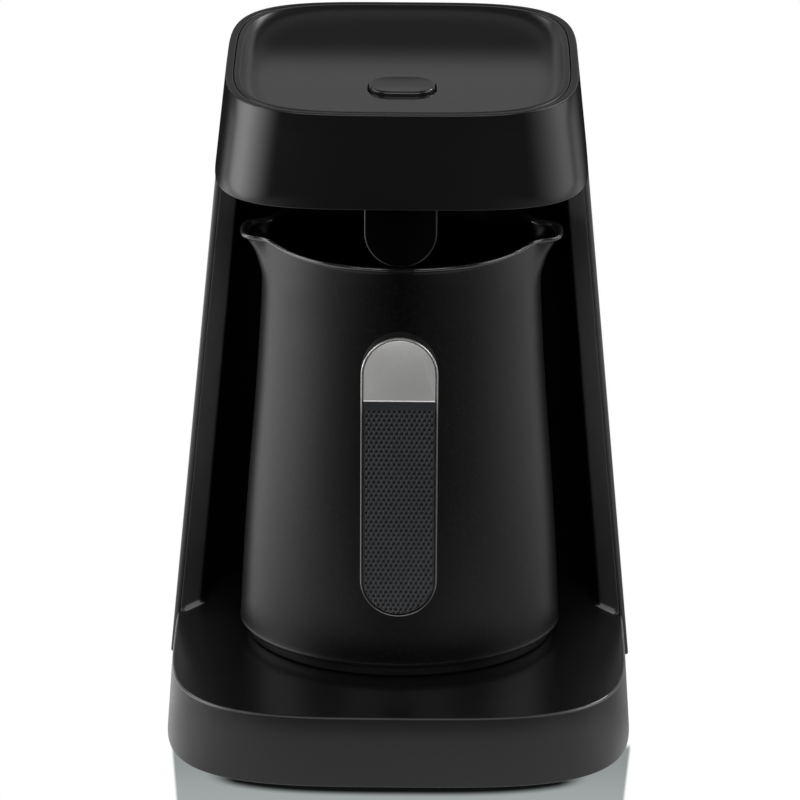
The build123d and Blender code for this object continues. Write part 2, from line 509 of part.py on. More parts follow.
bracket = bracket & box(-8.0, 8.0, 0, 45.0, 95, 140)
for z in HS:
    bracket -= rod_y(0, z, 0, 32, 1.3)
save("handle_bracket", bracket)
save("handle_screws", *[rod_y(0, z, HANDLE_Y + 3.4, HANDLE_Y + 5.2, 2.7) + rod_y(0, z, HANDLE_Y + 5.2, 30.5, 1.25) for z in HS])
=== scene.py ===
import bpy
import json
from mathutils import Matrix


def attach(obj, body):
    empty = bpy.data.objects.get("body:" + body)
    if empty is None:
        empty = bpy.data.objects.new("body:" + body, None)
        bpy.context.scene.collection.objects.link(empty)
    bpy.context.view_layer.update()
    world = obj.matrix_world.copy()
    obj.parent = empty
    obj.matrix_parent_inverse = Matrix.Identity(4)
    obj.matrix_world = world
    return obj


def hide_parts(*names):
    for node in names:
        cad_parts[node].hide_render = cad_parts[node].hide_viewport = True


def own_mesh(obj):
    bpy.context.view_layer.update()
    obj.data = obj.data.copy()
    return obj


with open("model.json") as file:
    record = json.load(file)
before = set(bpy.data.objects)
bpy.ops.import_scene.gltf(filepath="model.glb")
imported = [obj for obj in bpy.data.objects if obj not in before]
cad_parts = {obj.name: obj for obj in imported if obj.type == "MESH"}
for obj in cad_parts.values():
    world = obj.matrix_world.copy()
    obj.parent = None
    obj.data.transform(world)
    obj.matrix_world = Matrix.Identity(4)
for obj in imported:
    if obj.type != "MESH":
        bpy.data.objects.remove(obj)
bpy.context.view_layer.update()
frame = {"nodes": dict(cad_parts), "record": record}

import bpy
import bmesh
import json
import math
import numpy as np

NODES = frame["nodes"]
SLOT_OF = {p["node"]: p["material_slot"] for p in frame["record"]["subparts"]}
MM = 0.001
SHIFT_Y = 82.0          # shapes are laid out in mm with the base's front at y = 0, then moved back by this


# ============================================================ materials
def new_mat(name):
    m = bpy.data.materials.new(name)
    m.use_nodes = True
    nt = m.node_tree
    for n in list(nt.nodes):
        nt.nodes.remove(n)
    out = nt.nodes.new("ShaderNodeOutputMaterial")
    bsdf = nt.nodes.new("ShaderNodeBsdfPrincipled")
    nt.links.new(bsdf.outputs["BSDF"], out.inputs["Surface"])
    tc = nt.nodes.new("ShaderNodeTexCoord")
    return m, nt, bsdf, tc


def noise(nt, vec, scale, detail=4.0, rough=0.55, stretch=None):
    src = vec
    if stretch is not None:
        mp = nt.nodes.new("ShaderNodeMapping")
        mp.inputs["Scale"].default_value = stretch
        nt.links.new(vec, mp.inputs["Vector"])
        src = mp.outputs["Vector"]
    n = nt.nodes.new("ShaderNodeTexNoise")
    n.inputs["Scale"].default_value = scale
    n.inputs["Detail"].default_value = detail
    n.inputs["Roughness"].default_value = rough
    nt.links.new(src, n.inputs["Vector"])
    return n.outputs["Fac"]


def ramp(nt, fac, stops):
    r = nt.nodes.new("ShaderNodeValToRGB")
    while len(r.color_ramp.elements) < len(stops):
        r.color_ramp.elements.new(0.5)
    for e, (p, c) in zip(r.color_ramp.elements, stops):
        e.position = p
        e.color = (c[0], c[1], c[2], 1.0)
    nt.links.new(fac, r.inputs["Fac"])
    return r.outputs["Color"]


def remap(nt, fac, lo, hi, a=0.3, b=0.7):
    r = nt.nodes.new("ShaderNodeMapRange")
    r.inputs["From Min"].default_value = a
    r.inputs["From Max"].default_value = b
    r.inputs["To Min"].default_value = lo
    r.inputs["To Max"].default_value = hi
    nt.links.new(fac, r.inputs["Value"])
    return r.outputs["Result"]


def bump(nt, height, dist, strength=1.0, normal=None):
    b = nt.nodes.new("ShaderNodeBump")
    b.inputs["Distance"].default_value = dist
    b.inputs["Strength"].default_value = strength
    nt.links.new(height, b.inputs["Height"])
    if normal is not None:
        nt.links.new(normal, b.inputs["Normal"])
    return b.outputs["Normal"]


def plastic(name, dark, light, rough, rough_var=0.05, grain=2600.0, grain_h=0.000012, cloud=45.0, spec=0.5,
            metallic=0.0, coat=0.0, coat_rough=0.1, tint=None):
    """Moulded surface: slow colour drift, fine grain in the height, uneven gloss."""
    m, nt, bsdf, tc = new_mat(name)
    obj = tc.outputs["Object"]
    c = ramp(nt, noise(nt, obj, cloud, 3.0), [(0.35, dark), (0.65, light)])
    nt.links.new(c, bsdf.inputs["Base Color"])
    nt.links.new(remap(nt, noise(nt, obj, cloud * 6, 4.0), rough - rough_var, rough + rough_var), bsdf.inputs["Roughness"])
    nt.links.new(bump(nt, noise(nt, obj, grain, 2.0), grain_h), bsdf.inputs["Normal"])
    bsdf.inputs["Metallic"].default_value = metallic
    bsdf.inputs["Specular IOR Level"].default_value = spec
    bsdf.inputs["Coat Weight"].default_value = coat
    bsdf.inputs["Coat Roughness"].default_value = coat_rough
    return m


def metal(name, dark, light, rough, stretch=(1.0, 1.0, 1.0), grain=900.0, grain_h=0.000006, rough_var=0.06, metallic=1.0):
    m, nt, bsdf, tc = new_mat(name)
    obj = tc.outputs["Object"]
    streak = noise(nt, obj, grain, 3.0, 0.6, stretch)
    c = ramp(nt, streak, [(0.3, dark), (0.7, light)])
    nt.links.new(c, bsdf.inputs["Base Color"])
    nt.links.new(remap(nt, streak, rough - rough_var, rough + rough_var), bsdf.inputs["Roughness"])
    nt.links.new(bump(nt, streak, grain_h), bsdf.inputs["Normal"])
    bsdf.inputs["Metallic"].default_value = metallic
    return m


def g(v):
    return (v, v, v * 1.03)


def dish_abs():
    """Housing black, polished in the bowl and satin up its rim; the mesh says how far up the rim a point is."""
    m = plastic("dish_abs", g(0.0082), g(0.0094), 0.13, 0.003, grain=3200, grain_h=0.0000010, cloud=18.0)
    nt = m.node_tree
    bsdf = next(n for n in nt.nodes if n.type == "BSDF_PRINCIPLED")
    att = nt.nodes.new("ShaderNodeAttribute")
    att.attribute_name = "rim"
    drift = nt.nodes.new("ShaderNodeMath")
    drift.operation = "ADD"
    tc = next(n for n in nt.nodes if n.type == "TEX_COORD")
    nt.links.new(remap(nt, noise(nt, tc.outputs["Object"], 110.0, 4.0), -0.003, 0.003), drift.inputs[0])
    nt.links.new(remap(nt, att.outputs["Fac"], 0.115, 0.30, 0.0, 1.0), drift.inputs[1])
    nt.links.new(drift.outputs[0], bsdf.inputs["Roughness"])
    return m


def grip_plastic():
    """Soft grip: painted shade makes the pits of its lattice darker than the ridges between them."""
    m = plastic("grip_plastic", (0.0500, 0.0536, 0.0602), (0.0595, 0.0637, 0.0716), 0.32, 0.02)
    nt = m.node_tree
    bsdf = next(n for n in nt.nodes if n.type == "BSDF_PRINCIPLED")
    link = next(l for l in nt.links if l.to_socket == bsdf.inputs["Base Color"])
    src = link.from_socket
    att = nt.nodes.new("ShaderNodeAttribute")
    att.attribute_name = "relief"
    # painted shade: the deeper a point lies in a pit, the darker its colour, down to almost black
    shade = ramp(nt, remap(nt, att.outputs["Fac"], 0.0, 1.0, -0.35, 1.0), [(0.0, (1.0, 1.0, 1.0)), (0.20, (0.78, 0.78, 0.78)), (0.36, (0.40, 0.40, 0.40)), (0.55, (0.10, 0.10, 0.10)), (0.75, (0.02, 0.02, 0.02))])
    mix = nt.nodes.new("ShaderNodeMix")
    mix.data_type = 'RGBA'
    mix.blend_type = 'MULTIPLY'
    mix.inputs["Factor"].default_value = 1.0
    nt.links.new(src, mix.inputs["A"])
    nt.links.new(shade, mix.inputs["B"])
    nt.links.new(mix.outputs["Result"], bsdf.inputs["Base Color"])
    return m


def coating(name):
    """Matte black heat-resistant coat with very fine brighter flakes."""
    m, nt, bsdf, tc = new_mat(name)
    obj = tc.outputs["Object"]
    vor = nt.nodes.new("ShaderNodeTexVoronoi")
    vor.inputs["Scale"].default_value = 3200.0
    nt.links.new(obj, vor.inputs["Vector"])
    sep = nt.nodes.new("ShaderNodeSeparateColor")
    nt.links.new(vor.outputs["Color"], sep.inputs["Color"])
    flake = remap(nt, sep.outputs["Red"], 0.0, 1.0, 0.86, 1.0)
    cloud = ramp(nt, noise(nt, obj, 60.0, 3.0), [(0.35, (0.0009, 0.0009, 0.0011)), (0.65, (0.0015, 0.0015, 0.0018))])
    mix = nt.nodes.new("ShaderNodeMix")
    mix.data_type = 'RGBA'
    nt.links.new(flake, mix.inputs["Factor"])
    nt.links.new(cloud, mix.inputs["A"])
    mix.inputs["B"].default_value = (0.0125, 0.0125, 0.0131, 1.0)
    nt.links.new(mix.outputs["Result"], bsdf.inputs["Base Color"])
    nt.links.new(remap(nt, noise(nt, obj, 700.0, 3.0), 0.315, 0.355), bsdf.inputs["Roughness"])
    n1 = bump(nt, sep.outputs["Green"], 0.000006)
    n2 = bump(nt, noise(nt, obj, 2200.0, 3.0), 0.000010, 1.0, n1)
    nt.links.new(n2, bsdf.inputs["Normal"])
    bsdf.inputs["Specular IOR Level"].default_value = 0.44
    return m


def rim_chrome():
    """Polished edge of the handle frame, with painted shade: full bright round the cap, darkened round the grip and
    darkest under it.
    """
    m = metal("rim_chrome", (0.70, 0.695, 0.68), (0.78, 0.775, 0.755), 0.24, stretch=(1.0, 1.0, 0.06), grain=5200, grain_h=0.000002, rough_var=0.02, metallic=0.85)
    nt = m.node_tree
    bsdf = next(n for n in nt.nodes if n.type == "BSDF_PRINCIPLED")
    src = next(l for l in nt.links if l.to_socket == bsdf.inputs["Base Color"]).from_socket
    tc = next(n for n in nt.nodes if n.type == "TEX_COORD")
    sep = nt.nodes.new("ShaderNodeSeparateXYZ")
    nt.links.new(tc.outputs["Object"], sep.inputs["Vector"])
    # painted shade by height: darkest under the handle, darker along the grip, full colour round the cap
    shade = ramp(nt, remap(nt, sep.outputs["Z"], 0.0, 1.0, 0.0536, 0.1396), [(0.0, (0.17, 0.17, 0.17)), (0.10, (0.36, 0.36, 0.36)), (0.72, (0.40, 0.40, 0.40)), (0.80, (1.0, 1.0, 1.0))])
    mix = nt.nodes.new("ShaderNodeMix")
    mix.data_type = 'RGBA'
    mix.blend_type = 'MULTIPLY'
    mix.inputs["Factor"].default_value = 1.0
    nt.links.new(src, mix.inputs["A"])
    nt.links.new(shade, mix.inputs["B"])
    nt.links.new(mix.outputs["Result"], bsdf.inputs["Base Color"])
    return m


def shell_abs():
    """Moulded housing black on the patterned wall; painted light makes the shell's front edge paler, more so towards
    the top.
    """
    m = plastic("shell_abs", g(0.0155), g(0.0205), 0.38, 0.03, grain=1800, grain_h=0.00001)
    nt = m.node_tree
    bsdf = next(n for n in nt.nodes if n.type == "BSDF_PRINCIPLED")
    src = next(l for l in nt.links if l.to_socket == bsdf.inputs["Base Color"]).from_socket
    tc = next(n for n in nt.nodes if n.type == "TEX_COORD")
    sep = nt.nodes.new("ShaderNodeSeparateXYZ")
    nt.links.new(tc.outputs["Object"], sep.inputs["Vector"])
    # painted light on the front edge strip: paler than the housing black, brightest at the top
    edge = ramp(nt, remap(nt, sep.outputs["Z"], 0.0, 1.0, 0.02, 0.165), [(0.0, g(0.045)), (1.0, g(0.130))])
    mix = nt.nodes.new("ShaderNodeMix")
    mix.data_type = 'RGBA'
    nt.links.new(remap(nt, sep.outputs["Y"], 0.0, 1.0, 0.0138, 0.0146), mix.inputs["Factor"])
    nt.links.new(edge, mix.inputs["A"])
    nt.links.new(src, mix.inputs["B"])
    nt.links.new(mix.outputs["Result"], bsdf.inputs["Base Color"])
    return m


def board_green(name):
    m, nt, bsdf, tc = new_mat(name)
    obj = tc.outputs["Object"]
    br = nt.nodes.new("ShaderNodeTexBrick")
    br.inputs["Scale"].default_value = 260.0
    br.inputs["Mortar Size"].default_value = 0.03
    br.inputs["Color1"].default_value = (0.012, 0.10, 0.035, 1)
    br.inputs["Color2"].default_value = (0.016, 0.13, 0.045, 1)
    br.inputs["Mortar"].default_value = (0.05, 0.22, 0.08, 1)
    nt.links.new(obj, br.inputs["Vector"])
    nt.links.new(br.outputs["Color"], bsdf.inputs["Base Color"])
    nt.links.new(remap(nt, noise(nt, obj, 300.0), 0.25, 0.4), bsdf.inputs["Roughness"])
    nt.links.new(bump(nt, br.outputs["Fac"], 0.00002, 0.6), bsdf.inputs["Normal"])
    return m


def glassy(name, color, rough=0.08, trans=0.9):
    m, nt, bsdf, tc = new_mat(name)
    obj = tc.outputs["Object"]
    nt.links.new(ramp(nt, noise(nt, obj, 120.0), [(0.3, tuple(0.92 * c for c in color)), (0.7, color)]), bsdf.inputs["Base Color"])
    nt.links.new(remap(nt, noise(nt, obj, 500.0), rough * 0.7, rough * 1.5), bsdf.inputs["Roughness"])
    bsdf.inputs["Transmission Weight"].default_value = trans
    bsdf.inputs["IOR"].default_value = 1.5
    return m


MAT = {
    "black_abs": plastic("black_abs", g(0.0085), g(0.0100), 0.25, 0.006, grain=3200, grain_h=0.0000022, cloud=18.0),
    "polished_abs": plastic("polished_abs", g(0.0085), g(0.0098), 0.165, 0.004, grain=3200, grain_h=0.0000012, cloud=18.0),
    "lip_abs": plastic("lip_abs", g(0.0075), g(0.0088), 0.34, 0.01, grain=3200, grain_h=0.0000020, cloud=18.0),
    "dish_abs": dish_abs(),
    "textured_black_abs": plastic("textured_black_abs", g(0.0155), g(0.0205), 0.38, 0.03, grain=1800, grain_h=0.00001),
    "button_black": plastic("button_black", g(0.0095), g(0.0110), 0.20, 0.005, grain=3200, grain_h=0.0000025, cloud=30.0),
    "gloss_black": plastic("gloss_black", g(0.0010), g(0.0014), 0.08, 0.01, grain=300, grain_h=0.000001),
    "ir_window": plastic("ir_window", (0.020, 0.003, 0.006), (0.030, 0.004, 0.008), 0.08, 0.02, grain=300, grain_h=0.000002),
    "foot_rubber": plastic("foot_rubber", g(0.018), g(0.028), 0.72, 0.08, grain=1500, grain_h=0.00004),
    "silicone": plastic("silicone", g(0.30), g(0.36), 0.55, 0.06),
    "screw_steel": metal("screw_steel", (0.42, 0.42, 0.43), (0.60, 0.60, 0.61), 0.32),
    "spring_steel": metal("spring_steel", (0.38, 0.38, 0.40), (0.52, 0.52, 0.54), 0.28),
    "circuit_board": board_green("circuit_board"),
    "black_component": plastic("black_component", g(0.022), g(0.035), 0.50, 0.08, cloud=150),
    "glass_part": glassy("glass_part", (0.82, 0.86, 0.84)),
    "led_white": glassy("led_white", (0.86, 0.86, 0.82), 0.2, 0.5),
    "switch_black": plastic("switch_black", g(0.03), g(0.045), 0.45, 0.06, cloud=200),
    "lead_insulation": plastic("lead_insulation", (0.20, 0.035, 0.03), (0.28, 0.05, 0.04), 0.45, 0.08, cloud=120),
    "contact_brass": metal("contact_brass", (0.62, 0.46, 0.20), (0.78, 0.60, 0.30), 0.28),
    "heat_plastic": plastic("heat_plastic", g(0.007), g(0.009), 0.42, 0.03),
    "coated_steel": coating("coated_steel"),
    "heater_aluminium": metal("heater_aluminium", (0.50, 0.50, 0.50), (0.68, 0.68, 0.68), 0.45, grain=500),
    "heater_steel": metal("heater_steel", (0.30, 0.26, 0.22), (0.46, 0.42, 0.38), 0.38),
    "thermostat_part": metal("thermostat_part", (0.48, 0.48, 0.46), (0.62, 0.62, 0.60), 0.36),
    "satin_chrome": metal("satin_chrome", (0.76, 0.755, 0.735), (0.81, 0.805, 0.785), 0.34, stretch=(1.0, 1.0, 0.06), grain=5200, grain_h=0.000002, rough_var=0.02, metallic=0.5),
    "rim_chrome": rim_chrome(),
    "rim_coat": metal("rim_coat", (0.105, 0.105, 0.108), (0.155, 0.155, 0.158), 0.15, grain=2600, grain_h=0.000002, rough_var=0.02, metallic=0.8),
    "shell_abs": shell_abs(),
    # painted highlight: pale grey for the fillet at the foot of the niche facets
    "facet_foot": plastic("facet_foot", g(0.26), g(0.34), 0.20, 0.02, grain=2600, grain_h=0.000002, cloud=160.0),
    "grip_plastic": grip_plastic(),
    "handle_black": plastic("handle_black", g(0.008), g(0.010), 0.36, 0.03),
    "bracket_black": plastic("bracket_black", g(0.006), g(0.008), 0.48, 0.04),
}


# ============================================================ mesh tools
def to_m(v):
    v = np.array(v, float)
    v[..., 1] -= SHIFT_Y
    return v * MM


def build(name, verts, faces, slot, body, nodes, sharp=32.0, recalc=True, uv=None):
    me = bpy.data.meshes.new(name)
    me.from_pydata(to_m(verts).tolist(), [], [tuple(int(i) for i in f) for f in faces])
    me.update()
    if recalc:
        bm = bmesh.new()
        bm.from_mesh(me)
        bmesh.ops.recalc_face_normals(bm, faces=bm.faces)
        bm.to_mesh(me)
        bm.free()
    ob = bpy.data.objects.new(name, me)
    bpy.context.scene.collection.objects.link(ob)
    me.materials.append(MAT[slot])
    me.shade_smooth()
    me.set_sharp_from_angle(angle=math.radians(sharp))
    ob["v_slot"] = slot
    ob["v_body"] = body
    ob["v_nodes"] = list(nodes)
    ob["v_sharp"] = sharp
    return ob


def settle(ob):
    """Hand the finished piece to the frame."""
    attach(ob, ob["v_body"])
    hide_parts(*list(ob["v_nodes"]))
    for k in ("v_slot", "v_body", "v_nodes", "v_sharp"):
        del ob[k]
    return ob


def stack(rings, cap0=True, cap1=True, around=False):
    """Closed rings of equal length, joined by quads. around joins the last ring to the first."""
    rings = [np.asarray(r, float) for r in rings]
    m = len(rings[0])
    verts = np.concatenate(rings)
    k = len(rings)
    faces = []
    idx = np.arange(m)
    nxt = (idx + 1) % m
    for i in range(k if around else k - 1):
        a, b = i * m, ((i + 1) % k) * m
        faces.append(np.stack([a + idx, a + nxt, b + nxt, b + idx], 1))
    faces = np.concatenate(faces).tolist()
    if not around:
        if cap0:
            faces.append(list(range(m))[::-1])
        if cap1:
            faces.append(list(range((k - 1) * m, k * m)))
    return verts, faces


def joined(parts):
    verts, faces, off = [], [], 0
    for v, f in parts:
        verts.append(np.asarray(v, float))
        faces += [[i + off for i in q] for q in f]
        off += len(v)
    return np.concatenate(verts), faces


def cutter(kind, **k):
    """A hidden solid for one cut."""
    bm = bmesh.new()
    if kind == "box":
        x0, x1, y0, y1, z0, z1 = k["b"]
        bmesh.ops.create_cube(bm, size=1.0)
        for v in bm.verts:
            v.co.x = (x0 + x1) / 2 + v.co.x * (x1 - x0)
            v.co.y = (y0 + y1) / 2 + v.co.y * (y1 - y0) - SHIFT_Y
            v.co.z = (z0 + z1) / 2 + v.co.z * (z1 - z0)
            v.co *= MM
    elif kind == "cyl_y":
        x, z, y0, y1, r = k["c"]
        bmesh.ops.create_cone(bm, segments=96, cap_ends=True, radius1=r, radius2=r, depth=y1 - y0)
        for v in bm.verts:
            a, b, c = v.co
            v.co.x = (x + a) * MM
            v.co.y = ((y0 + y1) / 2 + c - SHIFT_Y) * MM
            v.co.z = (z - b) * MM
    else:
        x, y, z0, z1, r = k["c"]
        bmesh.ops.create_cone(bm, segments=96, cap_ends=True, radius1=r, radius2=r, depth=z1 - z0)
        for v in bm.verts:
            v.co.x += x
            v.co.y += y - SHIFT_Y
            v.co.z += (z0 + z1) / 2
            v.co *= MM
    me = bpy.data.meshes.new("cut")
    bm.to_mesh(me)
    bm.free()
    ob = bpy.data.objects.new("cut", me)
    bpy.context.scene.collection.objects.link(ob)
    return ob


def cut(ob, *tools):
    for t in tools:
        md = ob.modifiers.new("cut", "BOOLEAN")
        md.operation = "DIFFERENCE"
        md.solver = "EXACT"
        md.object = t
    bpy.context.view_layer.update()
    dg = bpy.context.evaluated_depsgraph_get()
    me = bpy.data.meshes.new_from_object(ob.evaluated_get(dg))
    ob.modifiers.clear()
    old = ob.data
    ob.data = me
    me.name = old.name + "_cut"
    bpy.data.meshes.remove(old)
    for t in tools:
        tm = t.data
        bpy.data.objects.remove(t)
        bpy.data.meshes.remove(tm)
    me.shade_smooth()
    me.set_sharp_from_angle(angle=math.radians(ob["v_sharp"]))
    return ob


def superp(t, a, yf, bf, yb, n, nb=None):
    yc = yf + bf
    c, s = np.cos(t), np.sin(t)
    b = np.where(s < 0, bf, yb - yc)
    n = n if nb is None else np.where(s < 0, n, nb)
    r = (np.abs(c / a) ** n + np.abs(s / b) ** n) ** (-1.0 / n)
    return np.stack([r * c, yc + r * s], -1)


def lerp(a, b, k):
    return a + (b - a) * k


def base_xy(t, z, d=0.0):
    h = 21.6
    lo = superp(t, 70.4 - d, d, 67.0 - d, 164.0 - d, 3.55)
    hi = superp(t, 70.4 - 0.065 * h - d, 0.8 + d, 71.0 - d, 164.0 - 0.0593 * h - d, 3.6)
    return lerp(lo, hi, (z - 2.0) / h)


def shell_xy(t, z, d=0.0):
    h = 165.5
    lo = superp(t, 71.15 - d, 20.0 + d, 60.0 - d, 164.0 - 0.0593 * 8.5 - d, 3.55)
    hi = superp(t, 71.15 - 0.0935 * h - d, 20.0 + d, 60.0 - d, 164.0 - 0.0593 * 174.0 - d, 3.85)
    return lerp(lo, hi, (z - 10.5) / h)


def head_xy(t, z, d=0.0):
    lo = superp(t, 55.7 - d, 14.2 + d, 61.0 - d, 153.7 - d, 3.9)
    hi = superp(t, 52.65 - d, 15.2 + d, 68.4 - d, 151.9 - d, 3.8, 3.95)
    return lerp(lo, hi, (z - 176.0) / 28.5)


def even(pts, n, closed=True):
    """n points evenly spaced along a dense line."""
    p = np.asarray(pts, float)
    if closed:
        p = np.concatenate([p, p[:1]])
    s = np.concatenate([[0.0], np.cumsum(np.linalg.norm(np.diff(p, axis=0), axis=1))])
    u = np.linspace(0, s[-1], n + 1)[:-1] if closed else np.linspace(0, s[-1], n)
    return np.stack([np.interp(u, s, p[:, i]) for i in range(p.shape[1])], 1)


DENSE = np.linspace(0, 2 * np.pi, 2400, endpoint=False) + np.pi / 2


def ring3(xy, z):
    return np.column_stack([xy, np.full(len(xy), float(z))])


def whole(fn, z, d, n):
    return ring3(even(fn(DENSE, z, d), n), z)


def angle_at(fn, z, d, y):
    lo, hi = -1.4, 1.4
    for _ in range(50):
        m = (lo + hi) / 2
        if fn(np.array([m]), z, d)[0, 1] < y:
            lo = m
        else:
            hi = m
    return (lo + hi) / 2


def front_of(fn, z, d, y, n):
    """From the right, round the front, to the left, up to depth y."""
    t = angle_at(fn, z, d, y)
    return even(fn(np.linspace(t, -np.pi - t, 1600), z, d), n, closed=False)


def rear_of(fn, z, d, y, n):
    """From the left, round the back, to the right."""
    t = angle_at(fn, z, d, y)
    return even(fn(np.linspace(np.pi - t, t, 1600), z, d), n, closed=False)


def quarter(r, n=6):
    """(along, in) of a rounded corner from the straight side to the flat end."""
    a = np.linspace(0, np.pi / 2, n + 1)
    return [(r * math.sin(x), r - r * math.cos(x)) for x in a]


# ============================================================ base tray
def tray_abs():
    """Housing black; on the deck the pot slides over, painted shade makes the middle darker than the wall below it, and
    painted light makes it lighter towards the sides.
    """
    m = plastic("tray_abs", g(0.0085), g(0.0100), 0.25, 0.01, grain=3200, grain_h=0.0000022, cloud=18.0)
    nt = m.node_tree
    bsdf = next(n for n in nt.nodes if n.type == "BSDF_PRINCIPLED")
    link = next(l for l in nt.links if l.to_socket == bsdf.inputs["Base Color"])
    src = link.from_socket
    tc = next(n for n in nt.nodes if n.type == "TEX_COORD")
    sep = nt.nodes.new("ShaderNodeSeparateXYZ")
    nt.links.new(tc.outputs["Object"], sep.inputs["Vector"])
    ax = nt.nodes.new("ShaderNodeMath")
    ax.operation = "ABSOLUTE"
    nt.links.new(sep.outputs["X"], ax.inputs[0])
    # painted shade in the deck's middle, painted light towards its sides
    deck = ramp(nt, remap(nt, ax.outputs[0], 0.0, 1.0, 0.030, 0.068), [(0.0, g(0.0040)), (0.5, g(0.0062)), (1.0, g(0.0150))])
    mix = nt.nodes.new("ShaderNodeMix")
    mix.data_type = 'RGBA'
    nt.links.new(remap(nt, sep.outputs["Z"], 0.0, 1.0, 0.02325, 0.02345), mix.inputs["Factor"])
    nt.links.new(src, mix.inputs["A"])
    nt.links.new(deck, mix.inputs["B"])
    nt.links.new(mix.outputs["Result"], bsdf.inputs["Base Color"])
    return m


def tray_edge():
    """The deck's rounded edge: satin along the front, rubbed smoother round the corners, where a painted highlight also
    makes it paler.
    """
    m = plastic("tray_edge", g(0.0075), g(0.0090), 0.40, 0.01, grain=3200, grain_h=0.0000015, cloud=18.0)
    nt = m.node_tree
    bsdf = next(n for n in nt.nodes if n.type == "BSDF_PRINCIPLED")
    src = next(l for l in nt.links if l.to_socket == bsdf.inputs["Base Color"]).from_socket
    tc = next(n for n in nt.nodes if n.type == "TEX_COORD")
    sep = nt.nodes.new("ShaderNodeSeparateXYZ")
    nt.links.new(tc.outputs["Object"], sep.inputs["Vector"])
    ax = nt.nodes.new("ShaderNodeMath")
    ax.operation = "ABSOLUTE"
    nt.links.new(sep.outputs["X"], ax.inputs[0])
    corner_rub_and_highlight = remap(nt, ax.outputs[0], 0.0, 1.0, 0.038, 0.056)
    mix = nt.nodes.new("ShaderNodeMix")
    mix.data_type = 'RGBA'
    nt.links.new(corner_rub_and_highlight, mix.inputs["Factor"])
    nt.links.new(src, mix.inputs["A"])
    # painted highlight: round the corners the colour turns pale grey
    nt.links.new(ramp(nt, noise(nt, tc.outputs["Object"], 240.0, 3.0), [(0.3, g(0.085)), (0.7, g(0.125))]), mix.inputs["B"])
    nt.links.new(mix.outputs["Result"], bsdf.inputs["Base Color"])
    nt.links.new(remap(nt, corner_rub_and_highlight, 0.42, 0.13, 0.0, 1.0), bsdf.inputs["Roughness"])
    return m


def make_base():
    n1, n2 = 420, 220
    rings = []

    def full(z, d):
        rings.append(ring3(np.concatenate([front_of(base_xy, z, d, 94.8, n1), rear_of(base_xy, z, d, 94.8, n2)]), z))

    def stepped(z, d):
        rings.append(ring3(np.concatenate([front_of(base_xy, z, d, 94.8, n1), rear_of(shell_xy, z, 1.9, 94.8, n2)]), z))

    def inner(z):
        r = rear_of(shell_xy, z, 4.2, 92.0, n2)
        r[:, 1] = np.minimum(r[:, 1], 159.0)
        rings.append(ring3(np.concatenate([front_of(base_xy, z, 2.5, 92.0, n1), r]), z))

    inner(21.1)
    inner(2.0)
    for s, d in reversed(quarter(0.35, 5)):
        full(2.0 + 0.35 - s, d)
    full(2.9, 0.0)
    full(6.0, 0.0)
    full(10.3, 0.0)
    stepped(10.3, 0.0)
    stepped(16.0, 0.0)
    for s, d in quarter(0.65, 6):
        stepped(23.6 - 0.65 + s, d)
    v, f = stack(rings)
    ob = build("v_base_tray", v, f, "black_abs", "root", ["base_tray"], sharp=30)
    ob.data.materials[0] = tray_abs()
    ob.data.materials.append(tray_edge())
    # the rounded top edge takes tray_edge, with its painted highlight round the corners
    for face in ob.data.polygons:
        if face.center.z > 0.0229 and 0.12 < face.normal.z < 0.985:
            face.material_index = 1
    cut(ob, cutter("box", b=(-5, 5, 150, 170, -1, 21.0)), cutter("box", b=(-18, 18, 151, 158.5, 19.6, 24.6)))
    return settle(ob)


make_base()


# ============================================================ rear shell
def make_shell():
    nc, ni, ne = 350, 44, 7
    pitch_z = 0.72
    zs = [10.5, 10.62, 10.95, 11.6] + list(np.arange(12.28, 174.6, pitch_z)) + [175.3, 175.8, 175.9]
    small = {10.5: 0.45, 10.62: 0.17, 10.95: 0.0, 175.9: 0.15}
    rings = []
    for j, z in enumerate(zs):
        e = small.get(z, 0.0)
        zz = min(max(z, 10.5), 175.9)
        yo = 95.9
        outer = rear_of(shell_xy, zz, e, yo, nc)                      # from -x round the back to +x
        inn = rear_of(shell_xy, zz, 1.8 - e, yo, ni)[::-1]            # back again on the inside
        # woven relief: dimples on a staggered lattice, left out beside the edges
        if 4 <= j < len(zs) - 3:
            tang = np.gradient(outer, axis=0)
            tang /= np.linalg.norm(tang, axis=1)[:, None]
            nrm = np.stack([-tang[:, 1], tang[:, 0]], 1)
            c = outer.mean(0)
            sgn = np.sign(((outer - c) * nrm).sum(1))[:, None]
            nrm *= sgn
            k = np.arange(nc)
            row = (j - 4) % 4
            deep = np.zeros(nc)
            if row == 0:
                deep = np.where(k % 2 == 0, 1.0, 0.0)
            elif row == 2:
                deep = np.where(k % 2 == 1, 1.0, 0.0)
            else:
                deep[:] = 0.35
            deep[:3] = 0
            deep[-3:] = 0
            outer = outer - nrm * (0.24 * deep)[:, None]
        a0, b0 = outer[-1], inn[0]
        a1, b1 = inn[-1], outer[0]

        def edge(a, b):
            cx = (a + b) / 2
            r = np.linalg.norm(a - b) / 2
            th = np.linspace(0, np.pi, ne + 2)[1:-1]
            u = (a - cx) / max(np.linalg.norm(a - cx), 1e-9)
            return np.stack([cx + u * r * math.cos(q) + np.array([0, -1.0]) * r * math.sin(q) for q in th])

        loop = np.concatenate([outer, edge(a0, b0), inn, edge(a1, b1)])
        rings.append(ring3(loop, z))
    v, f = stack(rings)
    ob = build("v_rear_shell", v, f, "textured_black_abs", "root", ["rear_shell"], sharp=50)
    ob.data.materials[0] = MAT["shell_abs"]
    cut(ob, cutter("box", b=(-5, 5, 150, 170, 0, 21.0)))
    return settle(ob)


make_shell()


